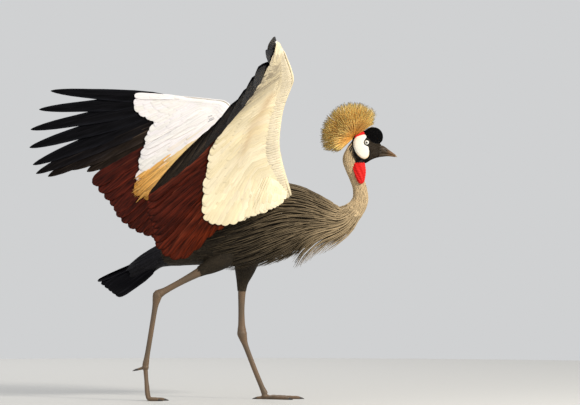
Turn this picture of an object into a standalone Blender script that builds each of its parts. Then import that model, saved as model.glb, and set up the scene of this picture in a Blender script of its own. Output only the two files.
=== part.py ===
"""A grey crowned crane at life size, walking with both wings raised.

The bird faces +X, its left side is +Y and the floor is z = 0. Every solid is
modelled in the bird's own frame, whose origin is on the floor between its feet,
and the empty that carries them all moves that frame so that the origin of the
whole lies at the middle of the bird's box, on the floor.
"""
import math

import bmesh
import bpy
from mathutils import Matrix, Vector

# The whole bird, in metres.
FRAME_SHIFT = (0.0, 0.204, 0.0)
JOINT_GAP = 0.0004
FEATHER_THICKNESS = 0.0009
COVERT_THICKNESS = 0.0008

# Torso: one row for each cross-section along the spine, from rump to lower neck,
# as forward place, height of the middle, half height and half width.
TORSO_SECTIONS = (
    (-0.158, 0.398, 0.016, 0.018),
    (-0.145, 0.402, 0.026, 0.027),
    (-0.110, 0.414, 0.039, 0.042),
    (-0.059, 0.430, 0.053, 0.058),
    (-0.004, 0.447, 0.075, 0.070),
    (0.067, 0.469, 0.093, 0.078),
    (0.131, 0.492, 0.100, 0.080),
    (0.187, 0.508, 0.098, 0.075),
    (0.234, 0.514, 0.085, 0.065),
    (0.277, 0.512, 0.068, 0.053),
    (0.312, 0.507, 0.054, 0.042),
    (0.341, 0.503, 0.044, 0.034),
    (0.367, 0.506, 0.036, 0.029),
    (0.389, 0.520, 0.029, 0.025),
    (0.402, 0.533, 0.026, 0.023),
)
TORSO_SIDES = 14

# Neck: forward place, height, half depth and half width, from below upward.
NECK_SECTIONS = (
    (0.402, 0.533, 0.0260, 0.0230),
    (0.4115, 0.546, 0.0240, 0.0210),
    (0.418, 0.566, 0.0215, 0.0190),
    (0.415, 0.596, 0.0190, 0.0170),
    (0.405, 0.624, 0.0185, 0.0162),
    (0.395, 0.650, 0.0195, 0.0165),
    (0.388, 0.675, 0.0200, 0.0165),
    (0.391, 0.700, 0.0190, 0.0160),
    (0.400, 0.715, 0.0150, 0.0130),
)
NECK_SIDES = 14

# Head without bill, cap and crest: forward place, top, underside, half width.
HEAD_SECTIONS = (
    (0.3945, 0.726, 0.698, 0.0070),
    (0.3975, 0.735, 0.683, 0.0120),
    (0.4050, 0.744, 0.670, 0.0160),
    (0.4180, 0.751, 0.662, 0.0185),
    (0.4330, 0.753, 0.664, 0.0185),
    (0.4470, 0.749, 0.672, 0.0165),
    (0.4600, 0.736, 0.6775, 0.0132),
    (0.4700, 0.722, 0.6800, 0.0106),
    (0.4765, 0.713, 0.6812, 0.0089),
)
HEAD_SIDES = 14

CAP_CENTRE = (0.4530, 0.0, 0.7370)
CAP_RADII = (0.0285, 0.0165, 0.0275)

EYE_CENTRE = (0.4352, 0.0118, 0.7212)
EYE_RADIUS = 0.0082
EYE_SEGMENTS = 12
EYE_ROWS = 8
LID_RADIUS = 0.0066
LID_THICKNESS = 0.0011

# Bill: forward place, height of the ridge, height of the mouth line, half width.
BILL_UPPER_SECTIONS = (
    (0.4700, 0.7130, 0.6905, 0.0090),
    (0.4790, 0.7125, 0.6900, 0.0086),
    (0.4870, 0.7085, 0.6890, 0.0072),
    (0.4960, 0.7015, 0.6875, 0.0058),
    (0.5070, 0.6935, 0.6850, 0.0042),
    (0.5150, 0.6875, 0.6815, 0.0028),
    (0.5205, 0.6822, 0.6792, 0.0012),
)
BILL_LOWER_SECTIONS = (
    (0.4700, 0.6898, 0.6800, 0.0084),
    (0.4790, 0.6893, 0.6808, 0.0080),
    (0.4870, 0.6883, 0.6818, 0.0066),
    (0.4960, 0.6868, 0.6822, 0.0052),
    (0.5070, 0.6843, 0.6812, 0.0036),
    (0.5135, 0.6818, 0.6800, 0.0020),
)
NOSTRIL_PLACE = (0.4905, 0.0, 0.6975)
NOSTRIL_SIZE = (0.0110, 0.0040, 0.0026)

# Wattle: forward place, sideways place, height, half depth and half thickness.
WATTLE_SECTIONS = (
    (0.4150, -0.0030, 0.6720, 0.0140, 0.0085),
    (0.4140, -0.0110, 0.6600, 0.0170, 0.0090),
    (0.4148, -0.0175, 0.6450, 0.0172, 0.0078),
    (0.4168, -0.0205, 0.6290, 0.0145, 0.0066),
    (0.4188, -0.0215, 0.6150, 0.0105, 0.0052),
    (0.4190, -0.0220, 0.6080, 0.0060, 0.0036),
)

# Crest: stiff bristles that spread from one focus inside the back of the head.
CREST_FOCUS = (0.4005, 0.0, 0.7360)
CREST_PAD_RADIUS = 0.0150
CREST_REACH = 0.0985
CREST_FRONT_ANGLE = math.radians(48.0)
CREST_BACK_ANGLE = math.radians(222.0)
CREST_SIDE_SPREAD = math.radians(62.0)
CREST_BRISTLES = 130
BRISTLE_RADIUS = 0.0015

# Tail: twelve feathers like a steep roof, the middle pair longest and highest.
TAIL_CORE = (
    (-0.118, 0.408, 0.018, 0.018),
    (-0.150, 0.400, 0.0275, 0.0265),
    (-0.182, 0.380, 0.0265, 0.0240),
    (-0.210, 0.362, 0.0170, 0.0160),
    (-0.226, 0.352, 0.0070, 0.0070),
)
TAIL_PAIRS = 6
TAIL_MIDDLE_TIP = (-0.318, 0.007, 0.333)
TAIL_OUTER_TIP = (-0.266, 0.044, 0.294)
TAIL_ROOT_TOP = (-0.176, 0.004, 0.400)
TAIL_ROOT_SIDE = (-0.170, 0.015, 0.371)
TAIL_BOW = 0.012
TAIL_FEATHER_WIDTH = 0.030

# Legs: centre line rows of forward place, sideways place, height and radius.
RIGHT_SHANK = (
    (0.052, -0.040, 0.425, 0.040),
    (0.030, -0.043, 0.397, 0.034),
    (0.002, -0.046, 0.378, 0.025),
    (-0.030, -0.049, 0.3610, 0.0150),
    (-0.062, -0.051, 0.3440, 0.0098),
    (-0.100, -0.052, 0.3235, 0.0078),
    (-0.130, -0.053, 0.3070, 0.0082),
    (-0.1400, -0.053, 0.3015, 0.0090),
)
LEFT_SHANK = (
    (0.110, 0.040, 0.430, 0.040),
    (0.100, 0.044, 0.395, 0.035),
    (0.093, 0.047, 0.360, 0.026),
    (0.087, 0.049, 0.328, 0.0150),
    (0.085, 0.050, 0.295, 0.0096),
    (0.084, 0.050, 0.250, 0.0078),
    (0.0845, 0.050, 0.210, 0.0082),
    (0.0850, 0.050, 0.1965, 0.0090),
)
RIGHT_TARSUS = (
    (-0.1440, -0.053, 0.3035, 0.0080),
    (-0.1490, -0.053, 0.2960, 0.0115),
    (-0.1525, -0.053, 0.2820, 0.0100),
    (-0.1570, -0.053, 0.2580, 0.0066),
    (-0.1680, -0.053, 0.1900, 0.0060),
    (-0.1780, -0.053, 0.1300, 0.0062),
    (-0.1825, -0.053, 0.1040, 0.0080),
    (-0.1835, -0.053, 0.0970, 0.0075),
)
LEFT_TARSUS = (
    (0.0845, 0.050, 0.1945, 0.0080),
    (0.0855, 0.050, 0.1850, 0.0115),
    (0.0890, 0.050, 0.1710, 0.0100),
    (0.0965, 0.050, 0.1480, 0.0066),
    (0.1185, 0.050, 0.0900, 0.0060),
    (0.1400, 0.050, 0.0370, 0.0062),
    (0.1485, 0.050, 0.0180, 0.0080),
    (0.1500, 0.050, 0.0140, 0.0078),
)
LEG_SIDES = 10

# Toes in order outer, middle, inner, hind: length and sideways angle.
TOE_LENGTHS = (0.082, 0.098, 0.078, 0.024)
TOE_ANGLES = (-34.0, 2.0, 38.0, 176.0)
TOE_RADIUS = 0.0062
CLAW_LENGTH = 0.012


# General shapes.

def remove_scene_objects():
    for item in list(bpy.data.objects):
        bpy.data.objects.remove(item, do_unlink=True)


def new_collection(name):
    collection = bpy.data.collections.new(name)
    bpy.context.scene.collection.children.link(collection)
    return collection


def principled(name, colour, roughness, metallic=0.0):
    material = bpy.data.materials.new(name)
    material.use_nodes = True
    shader = material.node_tree.nodes["Principled BSDF"]
    shader.inputs["Base Color"].default_value = (*colour, 1.0)
    shader.inputs["Roughness"].default_value = roughness
    shader.inputs["Metallic"].default_value = metallic
    return material


def along(points, u):
    """Point at fraction u of a smooth run through evenly numbered points."""
    last = len(points) - 1
    place = min(max(u, 0.0), 1.0) * last
    start = min(int(place), last - 1)
    t = place - start
    p1 = Vector(points[start])
    p2 = Vector(points[start + 1])
    p0 = Vector(points[start - 1]) if start > 0 else p1 * 2.0 - p2
    p3 = Vector(points[start + 2]) if start + 2 <= last else p2 * 2.0 - p1
    curve = p1 * 2.0 + (p2 - p0) * t
    curve += (p0 * 2.0 - p1 * 5.0 + p2 * 4.0 - p3) * t * t
    curve += (p1 * 3.0 - p0 - p2 * 3.0 + p3) * t * t * t
    return curve * 0.5


def resample(rows, count):
    return [along(rows, i / (count - 1)) for i in range(count)]


def rows_value(rows, t):
    """Straight interpolation in rows of (t, value)."""
    for (t0, v0), (t1, v1) in zip(rows, rows[1:]):
        if t <= t1:
            return v0 + (v1 - v0) * (t - t0) / (t1 - t0)
    return rows[-1][1]


def add_loft(bm, rings):
    """Closed body through rings of equally many points, capped at both ends."""
    loops = [[bm.verts.new(point) for point in ring] for ring in rings]
    count = len(loops[0])
    for low, high in zip(loops, loops[1:]):
        for i in range(count):
            j = (i + 1) % count
            if count == 4 and i == 2:
                bm.faces.new((low[i], low[j], high[i]))
                bm.faces.new((low[j], high[j], high[i]))
            else:
                bm.faces.new((low[i], low[j], high[j]))
                bm.faces.new((low[i], high[j], high[i]))
    bm.faces.new(tuple(reversed(loops[0])))
    bm.faces.new(tuple(loops[-1]))
    return loops


def finished_mesh(bm, name):
    bmesh.ops.triangulate(bm, faces=[f for f in bm.faces if len(f.verts) > 3])
    bmesh.ops.recalc_face_normals(bm, faces=bm.faces[:])
    mesh = bpy.data.meshes.new(name)
    bm.to_mesh(mesh)
    bm.free()
    return mesh


def loft_object(name, rings, collection):
    bm = bmesh.new()
    add_loft(bm, rings)
    item = bpy.data.objects.new(name, finished_mesh(bm, name))
    collection.objects.link(item)
    return item


def tube_rings(rows, sides, grow=0.0, flatten=1.0):
    """Rings across a centre line of (x, y, z, radius) rows."""
    rings = []
    for i, row in enumerate(rows):
        here = Vector(row[:3])
        before = Vector(rows[max(i - 1, 0)][:3])
        after = Vector(rows[min(i + 1, len(rows) - 1)][:3])
        ahead = (after - before).normalized()
        side = Vector((0.0, 1.0, 0.0))
        side = (side - ahead * side.dot(ahead)).normalized()
        up = side.cross(ahead).normalized()
        radius = row[3] + grow
        ring = []
        for k in range(sides):
            angle = 2.0 * math.pi * k / sides
            ring.append(here + up * math.cos(angle) * radius
                        + side * math.sin(angle) * radius * flatten)
        rings.append(ring)
    return rings


def body_rings(rows, sides, grow=0.0):
    """Oval rings across rows of (x, z, half height, half width)."""
    rings = []
    for i, (x, z, half_height, half_width) in enumerate(rows):
        before = rows[max(i - 1, 0)]
        after = rows[min(i + 1, len(rows) - 1)]
        ahead = Vector((after[0] - before[0], 0.0, after[1] - before[1])).normalized()
        up = Vector((-ahead.z, 0.0, ahead.x))
        ring = []
        for k in range(sides):
            angle = 2.0 * math.pi * k / sides
            ring.append(Vector((x, 0.0, z))
                        + up * math.cos(angle) * (half_height + grow)
                        + Vector((0.0, 1.0, 0.0)) * math.sin(angle) * (half_width + grow))
        rings.append(ring)
    return rings


def head_rings(grow=0.0):
    rings = []
    for x, top, low, half_width in HEAD_SECTIONS:
        middle = (top + low) / 2.0
        half = (top - low) / 2.0 + grow
        ring = []
        for k in range(HEAD_SIDES):
            angle = 2.0 * math.pi * k / HEAD_SIDES
            narrow = 1.0 - 0.12 * max(0.0, -math.cos(angle))
            ring.append(Vector((x, math.sin(angle) * (half_width * narrow + grow),
                                middle + math.cos(angle) * half)))
        rings.append(ring)
    rings[0] = [point + Vector((-grow, 0.0, 0.0)) for point in rings[0]]
    rings[-1] = [point + Vector((grow, 0.0, 0.0)) for point in rings[-1]]
    return rings


def ellipsoid(name, centre, radii, collection, segments=20, rows=12, grow=0.0):
    bm = bmesh.new()
    bmesh.ops.create_uvsphere(bm, u_segments=segments, v_segments=rows, radius=1.0)
    sizes = [radius + grow for radius in radii]
    bmesh.ops.transform(bm, verts=bm.verts[:],
                        matrix=Matrix.Translation(centre) @ Matrix.Diagonal((*sizes, 1.0)))
    item = bpy.data.objects.new(name, finished_mesh(bm, name))
    collection.objects.link(item)
    return item


def box(name, low, high, collection):
    bm = bmesh.new()
    bmesh.ops.create_cube(bm, size=1.0)
    middle = [(a + b) / 2.0 for a, b in zip(low, high)]
    sizes = [b - a for a, b in zip(low, high)]
    bmesh.ops.transform(bm, verts=bm.verts[:],
                        matrix=Matrix.Translation(middle) @ Matrix.Diagonal((*sizes, 1.0)))
    item = bpy.data.objects.new(name, finished_mesh(bm, name))
    collection.objects.link(item)
    return item


def settle(item):
    """Bakes an object's modifiers into its mesh."""
    graph = bpy.context.evaluated_depsgraph_get()
    mesh = bpy.data.meshes.new_from_object(item.evaluated_get(graph))
    item.modifiers.clear()
    item.data = mesh


def keep_largest(item):
    """Leaves only the closed surface with the largest box of an object's mesh."""
    bm = bmesh.new()
    bm.from_mesh(item.data)
    bm.verts.ensure_lookup_table()
    seen = set()
    groups = []
    for start in bm.verts:
        if start.index in seen:
            continue
        seen.add(start.index)
        group = [start]
        for vert in group:
            for edge in vert.link_edges:
                other = edge.other_vert(vert)
                if other.index not in seen:
                    seen.add(other.index)
                    group.append(other)
        groups.append(group)
    groups.sort(key=len, reverse=True)
    loose = [vert for group in groups[1:] for vert in group]
    if loose:
        bmesh.ops.delete(bm, geom=loose, context="VERTS")
    bm.to_mesh(item.data)
    bm.free()


def is_closed(mesh):
    """Whether each edge of a mesh has two faces."""
    bm = bmesh.new()
    bm.from_mesh(mesh)
    closed = all(len(edge.link_faces) == 2 for edge in bm.edges)
    bm.free()
    return closed


def boolean(item, others, operation):
    """One Boolean of an object with closed objects, which are then removed.

    The exact solver comes first, and the manifold one where it leaves an open edge.
    """
    helpers = new_collection("helpers of " + item.name)
    for other in others:
        for owner in list(other.users_collection):
            owner.objects.unlink(other)
        helpers.objects.link(other)
    original = item.data
    for solver in ("EXACT", "MANIFOLD"):
        item.data = original.copy()
        modifier = item.modifiers.new("shape", "BOOLEAN")
        modifier.operation = operation
        modifier.solver = solver
        modifier.operand_type = "COLLECTION"
        modifier.collection = helpers
        settle(item)
        if is_closed(item.data):
            break
    for other in others:
        bpy.data.objects.remove(other, do_unlink=True)
    bpy.data.collections.remove(helpers)
    keep_largest(item)
    return item


# Feathers.

def vane_rings(root, tip, normal, outward, width, shape, thickness, bulge, twist):
    """Rings of a flat feather from root to tip, arched towards its upper side."""
    axis = tip - root
    length = axis.length
    ahead = axis.normalized()
    across = (outward - ahead * outward.dot(ahead)).normalized()
    face = ahead.cross(across).normalized()
    if face.dot(normal) < 0.0:
        face = -face
    across = (across * math.cos(twist) + face * math.sin(twist)).normalized()
    rings = []
    for t, fraction in shape:
        middle = root + axis * t + face * bulge * length * 4.0 * t * (1.0 - t)
        run = (ahead + face * bulge * 4.0 * (1.0 - 2.0 * t)).normalized()
        edge = (across - run * across.dot(run)).normalized()
        depth = run.cross(edge).normalized()
        half = width * fraction / 2.0
        thin = thickness / 2.0
        rings.append([middle - edge * half + depth * thin,
                      middle + edge * half + depth * thin,
                      middle + edge * half - depth * thin,
                      middle - edge * half - depth * thin])
    return rings


PRIMARY_SHAPE = ((0.0, 0.16), (0.12, 0.42), (0.34, 0.94), (0.62, 0.98), (0.80, 0.62),
                 (1.0, 0.06))
SECONDARY_SHAPE = ((0.0, 0.16), (0.14, 0.50), (0.45, 1.0), (0.88, 0.94), (0.965, 0.62),
                   (1.0, 0.14))
COVERT_SHAPE = ((0.0, 0.34), (0.40, 0.96), (0.88, 0.88), (1.0, 0.20))


def plane(side, x, z, y):
    """A place on the bird's right (side -1) or left (side +1) wing."""
    return Vector((x, side * y, z))


def reach(root, x, z, length):
    """Distance from the mid plane of a tip whose feather has a given length."""
    flat = math.hypot(x - root[0], z - root[1])
    return root[2] + math.sqrt(max(length * length - flat * flat, 0.0))


# Right wing, seen from below: its hand reaches out sideways, so the primaries fan
# from backward-down to sideways. Each primary is (x, z, length) and its sideways
# place follows from its length.
RIGHT_PRIMARY_ROOTS = ((0.1673, 0.8848, 0.195), (0.1911, 0.9688, 0.275))
RIGHT_PRIMARY_TIPS = (
    (-0.166, 0.582, 0.457), (-0.135, 0.605, 0.460), (-0.099, 0.630, 0.465),
    (-0.060, 0.661, 0.470), (-0.012, 0.714, 0.475), (0.047, 0.773, 0.480),
    (0.089, 0.826, 0.485), (0.1225, 0.876, 0.480), (0.1600, 0.955, 0.455),
    (0.1757, 1.012, 0.385),
)


def right_primary_rows():
    rows = []
    last = len(RIGHT_PRIMARY_TIPS) - 1
    for i, (x, z, length) in enumerate(RIGHT_PRIMARY_TIPS):
        root = [a + (b - a) * i / last for a, b in zip(*RIGHT_PRIMARY_ROOTS)]
        rows.append((x, z, reach(root, x, z, length)))
    return rows


ARM_STATIONS = 7
HAND_FIRST = 6.75
HAND_LAST = 9.45
ARM_FIRST = 5.40
ARM_LAST = 1.3
ROOT_CHORD = 0.66
WING_THICKNESS = (0.040, 0.031, 0.028, 0.025, 0.022, 0.020, 0.018, 0.0165, 0.0145,
                  0.0130, 0.0095)
FEATHER_ARCH = 0.035
PRIMARY_COUNT = 10
SECONDARY_COUNT = 14
PRIMARY_WIDTHS = ((0.0, 0.85), (0.1, 1.0), (0.65, 1.0), (1.0, 0.66))
COVERT_WIDTHS = ((0.0, 0.6), (0.12, 1.0), (0.85, 1.0), (1.0, 0.8))
ARM_COVERT_START = 0.04
HAND_COVERT_START = 0.12
SECONDARY_WIDTH = 0.041
COVERT_WIDTH = 0.031
ARM_COVERTS = 12
HAND_COVERTS = 5
HAND_UPPER_REACH = ((0.0, 0.36), (1.0, 0.40))
HAND_UNDER_REACH = ((0.0, 0.34), (1.0, 0.36))


class Wing:
    """One wing: places of its edges and feather tips, and what follows from them.

    side is -1 for the right wing. The rows are (x, z, distance from the mid plane),
    from the shoulder to the hand's end for the fleshy part's two edges, from the
    innermost primary outward and from the outermost secondary inward for the tips.
    """

    def __init__(self, side, lead, trail, primary_tips, secondary_tips, under, upper,
                 primary_width, arm_twist, hand_twist, covert_twist):
        self.side = side
        self.primary_width = primary_width
        self.arm_twist = math.radians(arm_twist)
        self.hand_twist = math.radians(hand_twist)
        self.covert_twist = math.radians(covert_twist)
        self.lead = [plane(side, *row) for row in lead]
        self.trail = [plane(side, *row) for row in trail]
        self.primary_tips = [plane(side, *row) for row in primary_tips]
        self.secondary_tips = [plane(side, *row) for row in secondary_tips]
        self.under_reach = under
        self.upper_reach = upper

    def face(self, ahead, outward):
        """Unit normal of the upper side, which faces the mid plane or up."""
        face = ahead.cross(outward).normalized()
        towards = Vector((-0.25, -self.side * 0.9, 0.45))
        return face if face.dot(towards) > 0.0 else -face

    def place(self, rows, station):
        return along(rows, station / (len(rows) - 1))

    def half_thickness(self, station):
        low = min(int(station), len(WING_THICKNESS) - 2)
        part = station - low
        return (WING_THICKNESS[low] * (1.0 - part) + WING_THICKNESS[low + 1] * part) / 2.0

    def frame(self, station):
        """Leading and trailing edge, and the face's normal, at a station."""
        lead = self.place(self.lead, station)
        trail = self.place(self.trail, station)
        last = len(self.lead) - 1.0
        before = max(station - 0.5, 0.0)
        after = min(station + 0.5, last)
        span = self.place(self.lead, after) + self.place(self.trail, after)
        span -= self.place(self.lead, before) + self.place(self.trail, before)
        return lead, trail, self.face((trail - lead).normalized(), span.normalized())

    def root(self, hand, u):
        station = ARM_FIRST + (ARM_LAST - ARM_FIRST) * u
        if hand:
            station = HAND_FIRST + (HAND_LAST - HAND_FIRST) * u
        lead, trail, face = self.frame(station)
        return lead.lerp(trail, ROOT_CHORD)

    def tip(self, hand, u):
        return along(self.primary_tips if hand else self.secondary_tips, u)

    def surface(self, hand, u, s):
        """Middle of the flight feather at u, at fraction s of its length."""
        root = self.root(hand, u)
        tip = self.tip(hand, u)
        low = max(u - 0.05, 0.0)
        high = min(u + 0.05, 1.0)
        outward = self.root(hand, high) + self.tip(hand, high)
        outward -= self.root(hand, low) + self.tip(hand, low)
        face = self.face((tip - root).normalized(), outward.normalized())
        arch = FEATHER_ARCH * (tip - root).length * 4.0 * s * (1.0 - s)
        return root + (tip - root) * s + face * arch

    def local_axes(self, hand, u, s):
        """Middle, direction of growth, direction to the leading edge, upper normal."""
        low = max(u - 0.04, 0.0)
        high = min(u + 0.04, 1.0)
        middle = self.surface(hand, u, s)
        run = self.surface(hand, u, s + 0.02) - self.surface(hand, u, s - 0.02)
        run = run.normalized()
        across = self.surface(hand, high, s) - self.surface(hand, low, s)
        if not hand:
            across = -across
        across = (across - run * across.dot(run)).normalized()
        return middle, run, across, self.face(run, across)

    def core_rings(self, first, last):
        """Aerofoil rings of the fleshy part between two stations."""
        rings = []
        outline = ((0.0, 0.30), (0.10, 0.80), (0.40, 1.0), (1.0, 0.22))
        for station in range(first, last + 1):
            lead, trail, face = self.frame(float(station))
            chord = trail - lead
            half = self.half_thickness(station)
            ring = [lead + chord * s + face * half * h for s, h in outline]
            ring += [lead + chord * s - face * half * h * 0.85 for s, h in reversed(outline)]
            rings.append(ring)
        return rings

    def feather_rings(self, hand, u, width, shape, thickness, twist, lift=0.0,
                      reach_to=1.0):
        """Rings of one flat feather of this wing from root to tip.

        lift raises it over the flight feathers (or under them, below 0), and
        reach_to is where along the flight feather it ends. Its outer edge lies
        over the next feather, as the twist about its own length sets.
        """
        rings = []
        for t, fraction in shape:
            middle, run, across, face = self.local_axes(hand, u, t * reach_to)
            middle = middle + face * lift * min(1.0, 0.35 + t * 4.0)
            edge = across * math.cos(twist) + face * math.sin(twist)
            depth = face * math.cos(twist) - across * math.sin(twist)
            half = width * fraction / 2.0
            thin = thickness * (0.6 if t > 0.95 else 1.0) / 2.0
            rings.append([middle - edge * half + depth * thin,
                          middle + edge * half + depth * thin,
                          middle + edge * half - depth * thin,
                          middle - edge * half - depth * thin])
        return rings


RIGHT_WING = Wing(
    -1,
    lead=((0.226, 0.571, 0.030), (0.220, 0.599, 0.078), (0.204, 0.655, 0.106),
          (0.193, 0.711, 0.130), (0.195, 0.764, 0.150), (0.204, 0.820, 0.166),
          (0.223, 0.874, 0.182), (0.231, 0.898, 0.200), (0.226, 0.923, 0.218),
          (0.215, 0.950, 0.246), (0.2045, 0.9745, 0.282)),
    trail=((0.159, 0.543, 0.040), (0.131, 0.582, 0.092), (0.089, 0.627, 0.126),
           (0.069, 0.678, 0.150), (0.080, 0.734, 0.166), (0.106, 0.792, 0.182),
           (0.156, 0.854, 0.194), (0.164, 0.885, 0.206), (0.170, 0.916, 0.226),
           (0.181, 0.946, 0.250), (0.1900, 0.9720, 0.284)),
    primary_tips=right_primary_rows(),
    secondary_tips=((-0.170, 0.563, 0.206), (-0.174, 0.529, 0.192),
                    (-0.163, 0.498, 0.179), (-0.156, 0.465, 0.167),
                    (-0.149, 0.430, 0.155), (-0.116, 0.400, 0.144),
                    (-0.076, 0.406, 0.134), (-0.020, 0.462, 0.126),
                    (0.035, 0.494, 0.119), (0.095, 0.512, 0.113),
                    (0.145, 0.526, 0.107), (0.178, 0.546, 0.100)),
    under=((0.0, 0.42), (0.5, 0.42), (0.62, 0.55), (0.8, 0.92), (1.0, 0.97)),
    upper=((0.0, 0.40), (0.5, 0.40), (0.8, 0.72), (1.0, 0.90)),
    primary_width=0.050,
    arm_twist=10.5,
    hand_twist=8.5,
    covert_twist=14.0)

LEFT_WING = Wing(
    1,
    lead=((0.220, 0.580, 0.030), (0.195, 0.608, 0.085), (0.164, 0.650, 0.130),
          (0.128, 0.706, 0.175), (0.097, 0.759, 0.215), (0.069, 0.804, 0.250),
          (0.041, 0.833, 0.280), (0.005, 0.840, 0.286), (-0.032, 0.844, 0.290),
          (-0.071, 0.847, 0.293), (-0.088, 0.848, 0.294)),
    trail=((0.153, 0.543, 0.040), (0.114, 0.571, 0.095), (0.069, 0.605, 0.140),
           (0.030, 0.658, 0.175), (-0.001, 0.720, 0.210), (-0.023, 0.770, 0.243),
           (-0.009, 0.800, 0.270), (-0.034, 0.808, 0.276), (-0.060, 0.820, 0.283),
           (-0.085, 0.8345, 0.289), (-0.0935, 0.8415, 0.292)),
    primary_tips=((-0.324, 0.631, 0.275), (-0.356, 0.636, 0.280),
                  (-0.401, 0.641, 0.285), (-0.467, 0.622, 0.292),
                  (-0.501, 0.630, 0.298), (-0.510, 0.655, 0.304),
                  (-0.520, 0.704, 0.312), (-0.517, 0.755, 0.318),
                  (-0.493, 0.812, 0.322), (-0.460, 0.865, 0.318)),
    secondary_tips=((-0.340, 0.602, 0.268), (-0.309, 0.566, 0.252),
                    (-0.282, 0.535, 0.238), (-0.268, 0.508, 0.224),
                    (-0.237, 0.480, 0.206), (-0.200, 0.462, 0.188),
                    (-0.160, 0.450, 0.168), (-0.110, 0.446, 0.148),
                    (-0.050, 0.460, 0.132), (0.020, 0.486, 0.120),
                    (0.090, 0.512, 0.112), (0.150, 0.540, 0.104)),
    under=((0.0, 0.42), (0.5, 0.42), (0.75, 0.80), (1.0, 0.95)),
    upper=((0.0, 0.46), (0.5, 0.56), (0.8, 0.80), (1.0, 0.92)),
    primary_width=0.041,
    arm_twist=8.0,
    hand_twist=13.0,
    covert_twist=8.0)


def feather_objects(wing, hand, count, width, shape, thickness, twist, collection,
                    lift=0.0, reach_rows=((0.0, 1.0), (1.0, 1.0)),
                    width_rows=((0.0, 1.0), (1.0, 1.0)), first=0.0):
    """A row of like feathers along the arm or the hand."""
    items = []
    for i in range(count):
        u = first + (1.0 - first) * i / (count - 1)
        rings = wing.feather_rings(hand, u, width * rows_value(width_rows, u), shape,
                                   thickness, twist, lift, rows_value(reach_rows, u))
        items.append(loft_object("feather", rings, collection))
    return items


def covert_lift(widest, twist, covert_twist):
    """How far coverts stand off the flight feathers so that their edges stay clear."""
    edge = (widest * math.sin(twist) + COVERT_WIDTH * math.sin(covert_twist)) / 2.0
    return edge + FEATHER_THICKNESS + 0.0010


def arm_feathers(wing, collection):
    lift = covert_lift(SECONDARY_WIDTH, wing.arm_twist, wing.covert_twist)
    pieces = feather_objects(wing, False, SECONDARY_COUNT, SECONDARY_WIDTH, SECONDARY_SHAPE,
                             FEATHER_THICKNESS, wing.arm_twist, collection)
    for way, rows in ((-1.0, wing.under_reach), (1.0, wing.upper_reach)):
        pieces += feather_objects(wing, False, ARM_COVERTS, COVERT_WIDTH, COVERT_SHAPE,
                                  COVERT_THICKNESS, wing.covert_twist, collection,
                                  lift * way, rows, COVERT_WIDTHS, ARM_COVERT_START)
    return pieces


def hand_feathers(wing, collection):
    lift = covert_lift(wing.primary_width, wing.hand_twist, wing.hand_twist)
    pieces = feather_objects(wing, True, PRIMARY_COUNT, wing.primary_width, PRIMARY_SHAPE,
                             FEATHER_THICKNESS, wing.hand_twist, collection,
                             width_rows=PRIMARY_WIDTHS)
    for way, rows in ((-1.0, HAND_UNDER_REACH), (1.0, HAND_UPPER_REACH)):
        pieces += feather_objects(wing, True, HAND_COVERTS, COVERT_WIDTH, COVERT_SHAPE,
                                  COVERT_THICKNESS, wing.hand_twist, collection,
                                  lift * way, rows, PRIMARY_WIDTHS, HAND_COVERT_START)
    return pieces


def build_wing_arm(name, wing, cutter, collection):
    arm = loft_object(name, wing.core_rings(0, ARM_STATIONS - 1), collection)
    boolean(arm, arm_feathers(wing, collection), "UNION")
    boolean(arm, [cutter], "DIFFERENCE")
    return arm


def build_wing_hand(name, wing, collection):
    rings = wing.core_rings(ARM_STATIONS - 1, len(wing.lead) - 1)
    out = (rings[1][0] - rings[0][0]).normalized() * JOINT_GAP
    rings[0] = [point + out for point in rings[0]]
    hand = loft_object(name, rings, collection)
    boolean(hand, hand_feathers(wing, collection), "UNION")
    return hand


# Body.

def torso_rows():
    return resample(TORSO_SECTIONS, 17)


def torso_spot(place, angle, lift):
    """A place on the torso's surface, raised by lift; place 0 is the rump."""
    x, z, half_height, half_width = along(TORSO_SECTIONS, place)
    step = 0.01
    a = along(TORSO_SECTIONS, max(place - step, 0.0))
    b = along(TORSO_SECTIONS, min(place + step, 1.0))
    ahead = Vector((b[0] - a[0], 0.0, b[1] - a[1])).normalized()
    up = Vector((-ahead.z, 0.0, ahead.x))
    return (Vector((x, 0.0, z)) + up * math.cos(angle) * (half_height + lift)
            + Vector((0.0, 1.0, 0.0)) * math.sin(angle) * (half_width + lift))


PLUME_ROWS = (
    # root place, tip place, first and last angle from the back, count on a side,
    # height of the tip over the body, how far the lowest ones hang
    (0.99, 0.78, 26.0, 158.0, 5, 0.0075, 0.006),
    (0.93, 0.68, 16.0, 161.0, 6, 0.0115, 0.022),
    (0.86, 0.58, 50.0, 163.0, 5, 0.0155, 0.034),
)
PLUME_WIDTH = 0.010
PLUME_THICKNESS = 0.0024


def plume_rings(root_place, tip_place, angle, lift, hang, width):
    """Rings of one long narrow lock that follows the body and hangs at its end."""
    rings = []
    for t, fraction in ((0.0, 0.6), (0.3, 1.0), (0.7, 0.8), (1.0, 0.10)):
        place = root_place + (tip_place - root_place) * t
        height = -0.003 + (lift + 0.003) * min(1.0, t * 1.8)
        middle = torso_spot(place, angle, height)
        above = torso_spot(place, angle, height + 0.01)
        following = torso_spot(place + (tip_place - root_place) * 0.05, angle, height)
        face = (above - middle).normalized()
        run = (following - middle).normalized()
        edge = face.cross(run).normalized()
        middle = middle + Vector((0.0, 0.0, -hang * t * t))
        half = width * fraction / 2.0
        thin = PLUME_THICKNESS * (0.4 + 0.6 * fraction) / 2.0
        rings.append([middle - edge * half + face * thin, middle + edge * half + face * thin,
                      middle + edge * half - face * thin, middle - edge * half - face * thin])
    return rings


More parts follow.
